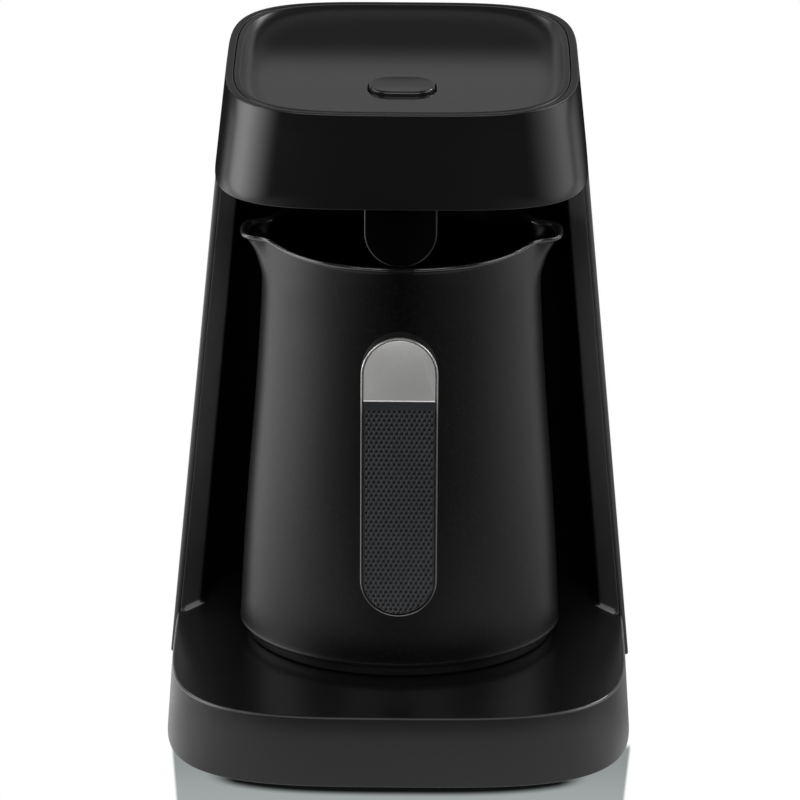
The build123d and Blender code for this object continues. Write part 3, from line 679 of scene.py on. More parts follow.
# ============================================================ niche liner
def niche_xy(z, d, m):
    a = 61.3 - 0.0858 * (z - 23.6) + d
    b = 140.0 - 0.0236 * (z - 23.6) - 100.0 + d
    n = 2.9
    y_start = 103.5 if d == 0 else 106.5
    t0 = math.atan2((y_start - 100.0) / b, 1.0)
    t = np.linspace(t0, np.pi - t0, 1600)
    r = (np.abs(np.cos(t) / a) ** n + np.abs(np.sin(t) / b) ** n) ** (-1.0 / n)
    return even(np.stack([r * np.cos(t), 100.0 + r * np.sin(t)], 1), m, closed=False)


def liner_black():
    """Housing black with painted light on the angled front facets: far paler than the housing, and paler towards the
    top; down in the niche a plain black slightly darker than the housing's.
    """
    m = plastic("liner_black", g(0.0085), g(0.0100), 0.30, 0.01, grain=3200, grain_h=0.0000022, cloud=18.0)
    nt = m.node_tree
    bsdf = next(n for n in nt.nodes if n.type == "BSDF_PRINCIPLED")
    tc = next(n for n in nt.nodes if n.type == "TEX_COORD")
    sep = nt.nodes.new("ShaderNodeSeparateXYZ")
    nt.links.new(tc.outputs["Object"], sep.inputs["Vector"])
    k = remap(nt, sep.outputs["Y"], 0.0, 1.0, 0.0208, 0.0222)
    # painted light on the facets, growing with height
    low = ramp(nt, noise(nt, tc.outputs["Object"], 160.0, 3.0), [(0.3, g(0.080)), (0.7, g(0.092))])
    high = ramp(nt, noise(nt, tc.outputs["Object"], 160.0, 3.0), [(0.3, g(0.255)), (0.7, g(0.290))])
    tall = nt.nodes.new("ShaderNodeMix")
    tall.data_type = 'RGBA'
    nt.links.new(remap(nt, sep.outputs["Z"], 0.0, 1.0, 0.04, 0.165), tall.inputs["Factor"])
    nt.links.new(low, tall.inputs["A"])
    nt.links.new(high, tall.inputs["B"])
    fine = tall.outputs["Result"]
    mix = nt.nodes.new("ShaderNodeMix")
    mix.data_type = 'RGBA'
    nt.links.new(k, mix.inputs["Factor"])
    nt.links.new(fine, mix.inputs["A"])
    mix.inputs["B"].default_value = (0.006, 0.006, 0.0062, 1.0)
    nt.links.new(mix.outputs["Result"], bsdf.inputs["Base Color"])
    return m


def make_liner():
    rings = []
    hs = [0.0, 0.06, 0.18, 0.34, 0.55, 0.8, 1.1, 1.6]
    z0, z1 = 23.65, 175.9
    zs = [z0 + h for h in hs] + list(np.linspace(27.0, 174.0, 50)) + [z1]
    for z in zs:
        xs = 71.15 - 0.0935 * (z - 10.5) - 1.8 - 0.1
        nc = niche_xy(z, 0.0, 260)
        p0 = np.array([xs, 95.3])
        q = nc[0]
        # facet, with a softened edge where it turns into the niche
        u = (q - p0) / np.linalg.norm(q - p0)
        soft = 1.6
        k = 6
        bez = []
        a, b = q - u * soft, nc[k]
        for s in np.linspace(0, 1, 9)[:-1]:
            bez.append((1 - s) ** 2 * a + 2 * s * (1 - s) * q + s * s * b)
        edge0 = [p0 + u * 0.0, p0 + u * 0.25]
        fac = np.linspace(0.25, np.linalg.norm(a - p0), 12)[1:-1]
        right = np.array(edge0 + [p0 + u * s for s in fac] + bez)
        right[0] += np.array([0.0, 0.22])
        mid = nc[k:len(nc) - k]
        left = right[::-1] * np.array([-1.0, 1.0])
        inner = np.concatenate([right, mid, left])
        h = z - z0
        if h < 1.6:
            tang = np.gradient(inner, axis=0)
            tang /= np.linalg.norm(tang, axis=1)[:, None]
            nrm = np.stack([tang[:, 1], -tang[:, 0]], 1)
            nrm *= np.sign(((np.array([0.0, 80.0]) - inner) * nrm).sum(1))[:, None]
            rr = 1.5
            off = rr - math.sqrt(max(rr * rr - (rr - min(h, rr)) ** 2, 0.0))
            lim = np.ones(len(inner))
            lim[:3] = [0.0, 0.55, 1.0]
            lim[-3:] = [1.0, 0.55, 0.0]
            inner = inner + nrm * (off * lim)[:, None]
        outer = niche_xy(z, 2.0, 120)
        loop = np.concatenate([inner, [[-xs, 99.5]], outer[::-1], [[xs, 99.5]]])
        rings.append(ring3(loop, z))
    v, f = stack(rings)
    ob = build("v_niche_liner", v, f, "black_abs", "root", ["niche_liner"], sharp=28)
    cut(ob, cutter("box", b=(-14.1, 14.1, 134, 150, 25.4, 42.6)))
    ob.data.materials[0] = liner_black()
    ob.data.materials.append(MAT["facet_foot"])
    # painted highlight on the fillet at the foot of the facets
    for face in ob.data.polygons:
        if face.center.z < 0.02535 and face.normal.z > 0.2 and face.center.y < 0.0210 and abs(face.center.x) < 0.0668:
            face.material_index = 1
    return settle(ob)


make_liner()


# ============================================================ head
def make_band():
    n = 560
    R = 0.40
    prof = []                                   # (z, inset)
    for s, d in reversed(quarter(0.45, 4)):
        prof.append((176.0 + 0.45 - s, d))
    prof.append((180.0, 0.0))
    prof.append((198.0, 0.0))
    for s, d in quarter(R, 9):
        prof.append((204.5 - R + s, d))
    prof += [(204.5, 1.95), (204.46, 2.12), (204.36, 2.24), (204.15, 2.3), (195.6, 2.3), (195.6, 4.1), (193.6, 4.1), (193.6, 2.3), (176.2, 2.3), (176.0, 2.1)]
    v, f = stack([whole(head_xy, z, d, n) for z, d in prof], around=True)
    ob = build("v_head_band", v, f, "black_abs", "root", ["head_band"], sharp=30)
    ob.data.materials[0] = MAT["polished_abs"]
    ob.data.materials.append(MAT["lip_abs"])
    for face in ob.data.polygons:
        if face.center.z > 0.2040 and face.normal.z > 0.55:
            face.material_index = 1
    return settle(ob)


make_band()


def rounded_rect(w, h, r, cx, cy, n):
    pts = []
    q = 60
    for sx, sy, a0 in ((-1, 1, 0.5), (-1, -1, 1.0), (1, -1, 1.5), (1, 1, 0.0)):
        for a in np.linspace(a0 * np.pi, (a0 + 0.5) * np.pi, q):
            pts.append((sx * (w / 2 - r) + r * math.cos(a), sy * (h / 2 - r) + r * math.sin(a)))
    p = np.array(pts)
    # start at the back middle, like the other rings
    p = np.roll(p, 0, axis=0)
    dense = even(p, 2400)
    k = np.argmin(np.abs(dense[:, 0]) + (dense[:, 1] < 0) * 1000)
    dense = np.roll(dense, -k, axis=0)
    return even(dense, n) + np.array([cx, cy])


def make_cover():
    n = 480
    rings = []
    add = lambda z, d: rings.append(whole(head_xy, z, d, n))
    skirt = 2.55
    add(195.8, 4.5)
    add(195.8, skirt)
    for s, d in quarter(0.3, 4):
        add(204.45 - 0.3 + s, skirt + d)
    # lip, rounded over into a short steep edge, then a shallow bowl that is flat round the button
    add(204.45, 3.9)
    for a in np.linspace(0, 1, 6)[1:]:
        ang = a * math.radians(38)
        add(204.45 - 0.6 * (1 - math.cos(ang)), 3.9 + 0.6 * math.sin(ang))
    zt, dt = 204.45 - 0.6 * (1 - math.cos(math.radians(38))), 3.9 + 0.6 * math.sin(math.radians(38))
    n_rim = len(rings)
    edge = whole(head_xy, 203.0, 8.5, n)[:, :2]
    top = rings[-1][:, :2]

    def climb(y):                                            # the bowl climbs to the back
        u, um = np.clip((y - 76.0) / 67.5, 0, 1.2), 0.55
        return 3.0 * np.where(u < um, u * u / (2 * um), u - um / 2) / (1 - um / 2)

    for k in np.linspace(0, 1, 12)[1:]:
        xy = lerp(top, edge, k)
        zz = 200.7 + climb(xy[:, 1]) + (zt - 200.7 - climb(top[:, 1])) * (1 - k) ** 2.2
        rings.append(np.column_stack([xy, np.minimum(zz, zt)]))
    flat = even(superp(DENSE, 26.0, 34.0, 22.0, 80.0, 2.6), n)
    for k in np.linspace(0, 1, 25)[1:]:
        xy = lerp(edge, flat, k)
        rings.append(np.column_stack([xy, 200.7 + climb(xy[:, 1])]))
    floor_ring = rings[-1]
    hole = rounded_rect(20.4, 19.8, 7.4, 0, 61.0, n)
    grown = rounded_rect(20.4 + 0.8, 19.8 + 0.8, 7.8, 0, 61.0, n)
    for k in (0.25, 0.5, 0.75, 0.92):
        xy = lerp(floor_ring[:, :2], grown, k)
        rings.append(ring3(xy, 200.7))
    rings.append(ring3(grown, 200.7))
    for s, d in reversed(quarter(0.25, 4)):
        rings.append(ring3(rounded_rect(20.4 + 2 * d, 19.8 + 2 * d, 7.4 + d, 0, 61.0, n), 200.7 - (0.25 - s)))
    rings.append(ring3(hole, 198.7))
    low = whole(head_xy, 198.7, 4.5, n)
    for k in (0.3, 0.7):
        rings.append(ring3(lerp(hole, low[:, :2], k), 198.7))
    rings.append(low)
    v, f = stack(rings, around=True)
    ob = build("v_top_cover", v, f, "black_abs", "root", ["top_cover"], sharp=30)
    ob.data.materials[0] = MAT["dish_abs"]
    share = np.zeros(len(rings))
    share[:n_rim + 1] = 1.0
    share[n_rim + 1:n_rim + 12] = np.linspace(1.0, 0.4, 11)
    share[n_rim + 12:n_rim + 15] = (0.25, 0.12, 0.05)
    rim = ob.data.attributes.new("rim", "FLOAT", "POINT")
    rim.data.foreach_set("value", np.repeat(share, n).astype(np.float32))
    return settle(ob)


make_cover()


def make_spring():
    """Return spring: one wire wound round the button's stem."""
    turns, rise, R, wire, z0 = 5.7 / 1.6, 5.7, 4.2, 0.35, 193.97
    n, m = 420, 14
    t = np.linspace(0, 1, n)
    a = 2 * np.pi * turns * t
    path = np.stack([R * np.cos(a), 61.0 + R * np.sin(a), z0 + rise * t], 1)
    along = np.stack([-R * np.sin(a), R * np.cos(a), np.full(n, rise / (2 * np.pi * turns))], 1)
    along /= np.linalg.norm(along, axis=1)[:, None]
    out = np.stack([np.cos(a), np.sin(a), np.zeros(n)], 1)
    up = np.cross(out, along)
    q = 2 * np.pi * np.arange(m) / m
    rings = [path[i] + wire * (np.cos(q)[:, None] * out[i] + np.sin(q)[:, None] * up[i]) for i in range(n)]
    v, f = stack(rings)
    ob = settle(build("v_button_spring", v, f, "spring_steel", "root", ["button_spring"], sharp=40))
    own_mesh(ob)
    return ob


make_spring()


def make_button():
    n = 240
    w, h, r = 19.6, 19.0, 7.0
    rr = lambda ww, hh, q, z: ring3(rounded_rect(ww, hh, q, 0, 61.0, n), z)
    rings = []
    for k, dz in ((0.06, 0.16), (0.3, 0.15), (0.6, 0.10), (0.8, 0.05)):
        rings.append(ring3(rounded_rect(w * k, h * k, r * k, 0, 61.0, n), 201.9 - dz))
    R = 0.75
    rings.append(rr(w - 2 * R - 0.5, h - 2 * R - 0.5, r - R - 0.25, 201.9 - 0.01))
    for a in np.linspace(0, 1, 8):
        ang = a * math.pi / 2
        d = R - R * math.sin(ang)
        rings.append(rr(w - 2 * d, h - 2 * d, r - d, 201.9 - R + R * math.cos(ang)))
    rings += [rr(w, h, r, 198.35), rr(w + 0.2, h + 0.2, r + 0.1, 198.3), rr(w + 2.8, h + 2.8, 7.45, 198.3), rr(w + 3, h + 3, 7.5, 198.2),
              rr(w + 3, h + 3, 7.5, 197.1), rr(w + 2.8, h + 2.8, 7.4, 197.0), rr(w - 3, h - 3, 6.0, 197.0), rr(w - 3, h - 3, 6.0, 200.1)]
    th = np.linspace(0, 2 * np.pi, n, endpoint=False) + np.pi / 2
    circ = lambda q, z: ring3(np.stack([q * np.cos(th), 61.0 + q * np.sin(th)], 1), z)
    rings += [circ(2.3, 200.1), circ(2.0, 199.8), circ(2.0, 194.95), circ(1.75, 194.7)]
    v, f = stack(rings)
    return settle(build("v_button_cap", v, f, "button_black", "button", ["button_cap"], sharp=35))


make_button()


def make_nose():
    half, low, top = 10.7, 155.2, 175.95

    def ushape(d, n=150):
        h = half - d
        cz = low + half
        th = np.linspace(0, -np.pi, 400)
        arc = np.stack([h * np.cos(th), cz + h * np.sin(th)], 1)
        right = np.stack([np.full(60, h), np.linspace(top, cz, 60, endpoint=False)], 1)
        left = np.stack([np.full(60, -h), np.linspace(cz, top, 60)], 1)
        return even(np.concatenate([right, arc, left]), n, closed=False)

    rings = []
    R = 0.6
    for a in np.linspace(0, 1, 6):
        ang = a * math.pi / 2
        xz = ushape(R - R * math.sin(ang))
        rings.append(np.column_stack([xz[:, 0], np.full(len(xz), 26.0 + R - R * math.cos(ang)), xz[:, 1]]))
    for y in (30.0, 40.0, 50.0, 59.4):
        xz = ushape(0.0)
        rings.append(np.column_stack([xz[:, 0], np.full(len(xz), y), xz[:, 1]]))
    xz = ushape(0.5)
    rings.append(np.column_stack([xz[:, 0], np.full(len(xz), 60.0), xz[:, 1]]))
    v, f = stack(rings)
    ob = build("v_sensor_nose", v, f, "gloss_black", "root", ["sensor_nose"], sharp=30)
    # hollow inside, and the window hole underneath
    inner = []
    for y in (27.8, 58.2):
        th = np.linspace(0, -np.pi, 64)
        h = half - 1.8
        arc = np.stack([h * np.cos(th), low + half + h * np.sin(th)], 1)
        pts = np.concatenate([[[h, 178.0]], arc, [[-h, 178.0]]])
        inner.append(np.column_stack([pts[:, 0], np.full(len(pts), y), pts[:, 1]]))
    iv, if_ = stack(inner)
    me = bpy.data.meshes.new("cut")
    me.from_pydata(to_m(iv).tolist(), [], if_)
    bm = bmesh.new()
    bm.from_mesh(me)
    bmesh.ops.recalc_face_normals(bm, faces=bm.faces)
    bm.to_mesh(me)
    bm.free()
    t = bpy.data.objects.new("cut", me)
    bpy.context.scene.collection.objects.link(t)
    cut(ob, t, cutter("cyl", c=(0.0, 52.0, 150.0, 160.5, 4.1)))
    return settle(ob)


make_nose()


# ============================================================ pot
POT_Y = 83.5
PROFILE = [(27.4, 48.95), (45.0, 48.15), (71.0, 46.5), (96.5, 44.5), (119.0, 43.0), (136.0, 42.3), (143.0, 42.4), (148.0, 42.8), (151.0, 43.3)]
MOUTH = [(27.4, 0.0, 0.0, 3.4), (136.0, 0.0, 0.0, 3.4), (143.0, 2.1, 0.5, 3.4), (148.0, 4.9, 1.2, 2.2), (151.0, 7.1, 1.8, 1.6)]


def smooth_table(tab, col, z):
    """Monotone cubic through a table of (z, value)."""
    xs = np.array([r[0] for r in tab], float)
    ys = np.array([r[col] for r in tab], float)
    h = np.diff(xs)
    dl = np.diff(ys) / h
    m = np.zeros(len(xs))
    m[0], m[-1] = dl[0], dl[-1]
    for i in range(1, len(xs) - 1):
        if dl[i - 1] * dl[i] > 0:
            w1, w2 = 2 * h[i] + h[i - 1], h[i] + 2 * h[i - 1]
            m[i] = (w1 + w2) / (w1 / dl[i - 1] + w2 / dl[i])
    k = int(np.clip(np.searchsorted(xs, z) - 1, 0, len(h) - 1))
    t = (z - xs[k]) / h[k]
    return ((2 * t ** 3 - 3 * t ** 2 + 1) * ys[k] + (t ** 3 - 2 * t ** 2 + t) * h[k] * m[k]
            + (-2 * t ** 3 + 3 * t ** 2) * ys[k + 1] + (t ** 3 - t ** 2) * h[k] * m[k + 1])


def pot_ring(z, out=0.0, zr=None, n=540):
    """One ring of the pot's wall at height z, moved out along the radius; zr is the height it is drawn at."""
    zc = min(max(z, 27.4), 151.0)
    r = smooth_table(PROFILE, 1, zc)
    lobe, pinch, soft = (smooth_table(MOUTH, c, zc) for c in (1, 2, 3))
    th = 2 * np.pi * np.arange(n) / n
    deg = np.degrees(th)
    u = np.minimum(deg % 180.0, 180.0 - deg % 180.0)
    k = np.clip((62.0 - u) / 35.0, 0, 1)
    rr = r + lobe / (1.0 + np.exp((u - 12.6) / soft)) - pinch * k * k * (3 - 2 * k) + out
    return np.stack([rr * np.cos(th), POT_Y + rr * np.sin(th), np.full(n, z if zr is None else zr)], 1)


def make_pot():
    n = 540
    th = 2 * np.pi * np.arange(n) / n
    circ = lambda r, z: np.stack([r * np.cos(th), POT_Y + r * np.sin(th), np.full(n, float(z))], 1)
    W = 1.2
    rings = []
    # inside: floor, rounded into the wall, up to the rim
    wall0 = smooth_table(PROFILE, 1, 46.0) - W
    for r in (6.0, 20.0, 34.0):
        rings.append(circ(r, 41.6))
    for a in np.linspace(0, 1, 9):
        ang = a * math.pi / 2
        rings.append(circ(wall0 - 4.2 + 4.2 * math.sin(ang), 41.6 + 4.4 * (1 - math.cos(ang))))
    for z in list(np.linspace(50.0, 134.0, 30)) + list(np.linspace(136.0, 149.6, 22)):
        rings.append(pot_ring(z, -W))
    # rolled rim: a small bead standing a little proud of the wall
    bead = [(149.9, -1.15), (150.25, -1.02), (150.6, -0.80), (150.85, -0.48), (150.97, -0.12), (151.0, 0.16), (150.93, 0.44),
            (150.72, 0.64), (150.42, 0.72), (150.10, 0.66), (149.84, 0.46), (149.68, 0.20), (149.58, 0.02)]
    for z, o in bead:
        rings.append(pot_ring(150.4, o, zr=z))
    for z in list(np.linspace(149.3, 136.5, 26)) + list(np.linspace(134.0, 30.0, 62)):
        rings.append(pot_ring(z))
    rings += [pot_ring(28.75), pot_ring(28.55, 0.03), pot_ring(28.35, 0.09), pot_ring(28.1, 0.13), pot_ring(27.85, 0.12), pot_ring(27.6, 0.04, zr=27.6),
              pot_ring(27.45, -0.08, zr=27.45), pot_ring(27.4, -0.35, zr=27.4)]
    rings += [circ(47.3, 27.4), circ(47.3, 39.2), circ(46.6, 40.0), circ(30.0, 40.0), circ(8.0, 40.0)]
    v, f = stack(rings)
    ob = build("v_pot_vessel", v, f, "coated_steel", "pot", ["pot_vessel"], sharp=38)
    ob.data.materials.append(MAT["rim_coat"])
    for face in ob.data.polygons:
        if face.center.z > 0.14958:
            face.material_index = 1
    cut(ob, cutter("box", b=(-12.4, 12.4, POT_Y + 30, POT_Y + 60, 20, 38.8)))
    return settle(ob)


make_pot()


def revolve(prof, n=200):
    th = 2 * np.pi * np.arange(n) / n
    return stack([np.stack([r * np.cos(th), POT_Y + r * np.sin(th), np.full(n, float(z))], 1) for r, z in prof], around=True)


def make_pot_ring():
    prof = [(41.3, 23.9), (46.2, 23.9), (46.5, 24.0), (46.65, 24.25), (46.75, 24.6), (47.3, 26.7), (47.3, 27.0), (47.15, 27.22), (46.9, 27.3),
            (46.4, 27.3), (46.4, 36.6), (46.1, 37.0), (44.7, 37.0), (44.4, 36.7), (44.4, 27.3), (38.7, 27.3), (38.5, 27.1), (38.5, 26.3), (41.0, 26.3), (41.0, 24.1)]
    v, f = revolve(prof)
    ob = build("v_pot_base_ring", v, f, "heat_plastic", "pot", ["pot_base_ring"], sharp=35)
    cut(ob, cutter("box", b=(-12.4, 12.4, POT_Y + 30, POT_Y + 60, 27.3, 50)))
    return settle(ob)


make_pot_ring()


# ============================================================ handle
def stadium(w, zlo, zhi, n=260):
    r = w / 2
    a = np.linspace(0, np.pi, 300)
    top = np.stack([r * np.cos(a), zhi - r + r * np.sin(a)], 1)
    bot = np.stack([r * np.cos(a + np.pi), zlo + r + r * np.sin(a + np.pi)], 1)
    return even(np.concatenate([top, bot]), n)


def at_y(xz, y):
    return np.column_stack([xz[:, 0], np.full(len(xz), float(y)), xz[:, 1]])


def make_frame():
    W, LO, HI = 22.6, 53.6, 139.6
    Y0, Y1 = 6.0, 9.2
    s = lambda d: stadium(W - 2 * d, LO + d, HI - d)
    # rim: a narrow polished band round the whole handle, with a groove between it and what it holds
    prof = [(0.0, Y0 + 1.05), (0.0, Y0 + 0.30), (0.05, Y0 + 0.12), (0.15, Y0 + 0.02), (0.28, Y0), (0.38, Y0 + 0.05), (0.44, Y0 + 0.20),
            (0.46, Y0 + 1.3), (0.80, Y0 + 1.3), (0.80, Y1), (0.55, Y1), (0.55, Y0 + 1.5), (0.30, Y0 + 1.5), (0.30, Y0 + 1.12), (0.04, Y0 + 1.12)]
    rim = stack([at_y(s(d), y) for d, y in prof], around=True)
    # cap: flat satin plate, its lower edge bevelled

    def plate(d, n=260):
        w = W - 2 * d
        r = w / 2
        a = np.linspace(0, np.pi, 500)
        top = np.stack([r * np.cos(a), HI - d - r + r * np.sin(a)], 1)
        zl = 120.2 + max(d - 0.80, 0.0) * 1.0
        q = 0.25
        left = np.array([[-r, zl + q], [-r + q * 0.3, zl + q * 0.3], [-r + q, zl]])
        right = left[::-1] * np.array([-1.0, 1.0])
        side_l = np.stack([np.full(60, -r), np.linspace(HI - d - r, zl + q, 62)[1:-1]], 1)
        side_r = side_l[::-1] * np.array([-1.0, 1.0])
        base = np.stack([np.linspace(-r + q, r - q, 62)[1:-1], np.full(60, zl)], 1)
        return even(np.concatenate([top, side_l, left, base, right, side_r]), n)

    pl = [(0.80, Y1), (0.80, Y0 + 0.18), (0.83, Y0 + 0.11), (0.90, Y0 + 0.07)]
    cap = stack([at_y(plate(d), y) for d, y in pl])
    bar = [(6.3, 120.2), (6.02, 120.2), (5.95, 120.27), (5.95, 120.40), (6.05, 120.56), (6.3, 120.6)]
    bead = stack([np.array([(x, y, z) for y, z in bar]) for x in (-10.45, 10.45)])
    v, f = joined([rim, cap, bead])
    ob = build("v_handle_frame", v, f, "satin_chrome", "pot", ["handle_frame"], sharp=35)
    ob.data.materials.append(MAT["rim_chrome"])
    for face in ob.data.polygons:
        if face.index < len(rim[1]):
            face.material_index = 1
    return settle(ob)


make_frame()


def make_back():
    W, LO, HI = 22.6, 53.6, 139.6
    s = lambda d: stadium(W - 2 * d, LO + d, HI - d)
    prof = [(0.56, 9.27), (0.28, 9.27), (0.28, 7.22), (0.25, 7.17), (0.09, 7.17), (0.06, 7.22), (0.06, 9.15), (0.2, 9.4), (0.2, 13.1)]
    for a in np.linspace(0, 1, 9)[1:]:
        ang = a * math.pi / 2
        prof.append((0.2 + 2.4 * (1 - math.cos(ang)), 13.1 + 2.4 * math.sin(ang)))
    v, f = stack([at_y(s(d), y) for d, y in prof])
    ob = build("v_handle_back", v, f, SLOT_OF["handle_back"], "pot", ["handle_back"], sharp=30)
    tools = []
    for z in (111.5, 122.0):
        tools += [cutter("cyl_y", c=(0.0, z, 5.0, 20.0, 1.35)), cutter("cyl_y", c=(0.0, z, 5.0, 11.2, 2.9))]
    cut(ob, *tools)
    return settle(ob)


make_back()


def make_grip():
    half, lo, hi = 10.45, 54.45, 120.15
    y_face = 6.28
    nx, nz = ((143, 483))
    zs = np.concatenate([[lo + 0.02, lo + 0.06], np.linspace(lo + 0.14, hi, nz)])
    s = np.linspace(-1, 1, nx)
    zc = lo + half
    w = np.where(zs > zc, half, np.sqrt(np.maximum(half ** 2 - (zc - zs) ** 2, 0.05)))
    X = s[None, :] * w[:, None]
    Z = np.repeat(zs[:, None], nx, 1)
    px, pz = 1.48, 2.72
    k1 = np.cos(2 * np.pi * (X / px - Z / pz))
    k2 = np.cos(2 * np.pi * (X / px + Z / pz))
    f = 0.62 * k1 + 0.38 * k2                        # long diagonal ridges crossed by shorter ones
    dimple = np.clip((f + 0.02) / 0.85, 0, 1) ** 0.7
    ridge = np.clip((-f - 0.2) / 0.8, 0, 1)
    edge = np.minimum(w[:, None] - np.abs(X), np.minimum(117.85 - Z, 99.0))
    fade = np.clip((edge - 0.15) / 0.35, 0, 1)
    depth = (0.40 * dimple - 0.06 * ridge) * fade
    lip = np.clip(1 - (w[:, None] - np.abs(X)) / 0.25, 0, 1) ** 2 * 0.2
    Y = y_face + depth + lip
    grid = np.stack([X, Y, Z], -1).reshape(-1, 3)
    rows, cols = len(zs), nx
    idx = np.arange(rows * cols).reshape(rows, cols)
    faces = np.stack([idx[:-1, :-1], idx[:-1, 1:], idx[1:, 1:], idx[1:, :-1]], -1).reshape(-1, 4).tolist()
    # skirt and back
    loop = np.concatenate([idx[0, :], idx[1:, -1], idx[-1, -2::-1], idx[-2:0:-1, 0]])
    back = grid[loop].copy()
    back[:, 1] = 9.2
    off = len(grid)
    m = len(loop)
    verts = np.concatenate([grid, back])
    for i in range(m):
        j = (i + 1) % m
        faces.append([int(loop[i]), int(loop[j]), off + j, off + i])
    faces.append([off + i for i in range(m)][::-1])
    ob = build("v_handle_grip", verts, faces, "grip_plastic", "pot", ["handle_grip"], sharp=60)
    # pit depth per point; the grip material turns it into painted shade in the pits
    relief = ob.data.attributes.new("relief", "FLOAT", "POINT")
    relief.data.foreach_set("value", np.concatenate([((dimple - 0.35 * ridge) * fade).ravel(), np.zeros(len(back))]).astype(np.float32))
    return settle(ob)


make_grip()


# ============================================================ carried-over CAD nodes
for name, ob in NODES.items():
    m = MAT[SLOT_OF[name]]
    if ob.material_slots:
        for s in ob.material_slots:
            s.material = m
    else:
        ob.data.materials.append(m)

for name, width in (("handle_bracket", 0.5), ("rubber_feet", 0.35), ("pot_plug", 0.3), ("pot_socket", 0.25), ("head_underside", 0.2)):
    md = NODES[name].modifiers.new("softened edges", "BEVEL")
    md.width = width * MM
    md.segments = 3
    md.limit_method = "ANGLE"
    md.angle_limit = math.radians(40)
    md.harden_normals = False


# ============================================================ stage
def stage_plane(name, sx, sy, loc, rot, mat):
    me = bpy.data.meshes.new(name)
    me.from_pydata([(-sx / 2, -sy / 2, 0), (sx / 2, -sy / 2, 0), (sx / 2, sy / 2, 0), (-sx / 2, sy / 2, 0)], [], [(0, 1, 2, 3)])
    me.materials.append(mat)
    ob = bpy.data.objects.new(name, me)
    bpy.context.scene.collection.objects.link(ob)
    ob.location = loc
    ob.rotation_euler = rot
    return ob


def stage_mat(name, emission, gloss=0.0, rough=0.06, tint=(1.0, 1.0, 1.0)):
    m = bpy.data.materials.new(name)
    m.use_nodes = True
    nt = m.node_tree
    for n in list(nt.nodes):
        nt.nodes.remove(n)
    out = nt.nodes.new("ShaderNodeOutputMaterial")
    em = nt.nodes.new("ShaderNodeEmission")
    em.inputs["Color"].default_value = (*tint, 1)
    em.inputs["Strength"].default_value = emission
    last = em.outputs[0]
    if gloss:
        gl = nt.nodes.new("ShaderNodeBsdfGlossy")
        gl.inputs["Roughness"].default_value = rough
        gl.inputs["Color"].default_value = (gloss, gloss, gloss, 1)
        add = nt.nodes.new("ShaderNodeAddShader")
        nt.links.new(last, add.inputs[0])
        nt.links.new(gl.outputs[0], add.inputs[1])
        last = add.outputs[0]
    nt.links.new(last, out.inputs["Surface"])
    return m


def spread_mat():
    """Light that the table sends back: bright close to the front of the object and out to both sides, dark further in front."""
    m = bpy.data.materials.new("table_light")
    m.use_nodes = True
    nt = m.node_tree
    for n in list(nt.nodes):
        nt.nodes.remove(n)
    out = nt.nodes.new("ShaderNodeOutputMaterial")
    em = nt.nodes.new("ShaderNodeEmission")
    em.inputs["Color"].default_value = (1, 1, 1, 1)
    tc = nt.nodes.new("ShaderNodeTexCoord")
    sep = nt.nodes.new("ShaderNodeSeparateXYZ")
    nt.links.new(tc.outputs["Object"], sep.inputs["Vector"])

    def op(kind, a, b=None):
        n = nt.nodes.new("ShaderNodeMath")
        n.operation = kind
        for i, v in enumerate((a, b)):
            if v is None:
                continue
            if isinstance(v, (int, float)):
                n.inputs[i].default_value = v
            else:
                nt.links.new(v, n.inputs[i])
        return n.outputs[0]

    def step(v, lo, hi, a, b):
        n = nt.nodes.new("ShaderNodeMapRange")
        n.interpolation_type = "SMOOTHSTEP"
        n.inputs["From Min"].default_value = lo
        n.inputs["From Max"].default_value = hi
        n.inputs["To Min"].default_value = a
        n.inputs["To Max"].default_value = b
        nt.links.new(v, n.inputs["Value"])
        return n.outputs["Result"]

    x, y = sep.outputs["X"], sep.outputs["Y"]
    r = op("SQRT", op("ADD", op("ADD", op("MULTIPLY", x, x), op("MULTIPLY", y, y)), 0.0001))
    c = op("DIVIDE", op("MULTIPLY", y, -1.0), r)                     # 1 straight in front, 0 beside, -1 behind
    w = op("MINIMUM", op("SUBTRACT", 1.0, c), 1.0)
    left = op("MULTIPLY", op("POWER", w, 1.1), TABLE_L)
    left = op("MULTIPLY", left, op("SUBTRACT", 1.0, op("MULTIPLY", step(r, 0.45, 0.75, 0.0, 1.0), step(c, -0.92, -0.55, 1.0, 0.0))))
    right = op("MULTIPLY", op("POWER", w, 0.75), TABLE_R)
    k = step(x, -0.02, 0.02, 0.0, 1.0)
    side = op("ADD", op("MULTIPLY", left, op("SUBTRACT", 1.0, k)), op("MULTIPLY", right, k))
    side = op("MULTIPLY", side, step(c, -0.97, -0.72, 0.0, 1.0))
    side = op("MULTIPLY", side, step(r, 0.08, 0.42, 0.65, 1.0))
    side = op("MULTIPLY", side, step(r, 0.9, 1.4, 1.0, 0.0))
    near = op("MULTIPLY", step(y, -0.205, -0.15, 0.0, NEAR_TABLE), step(op("ABSOLUTE", x), 0.10, 0.22, 1.0, 0.0))
    near = op("MULTIPLY", near, step(y, -0.07, 0.0, 1.0, 0.0))
    total = op("ADD", op("ADD", side, near), 0.01)
    nt.links.new(total, em.inputs["Strength"])
    nt.links.new(em.outputs[0], out.inputs["Surface"])
    return m


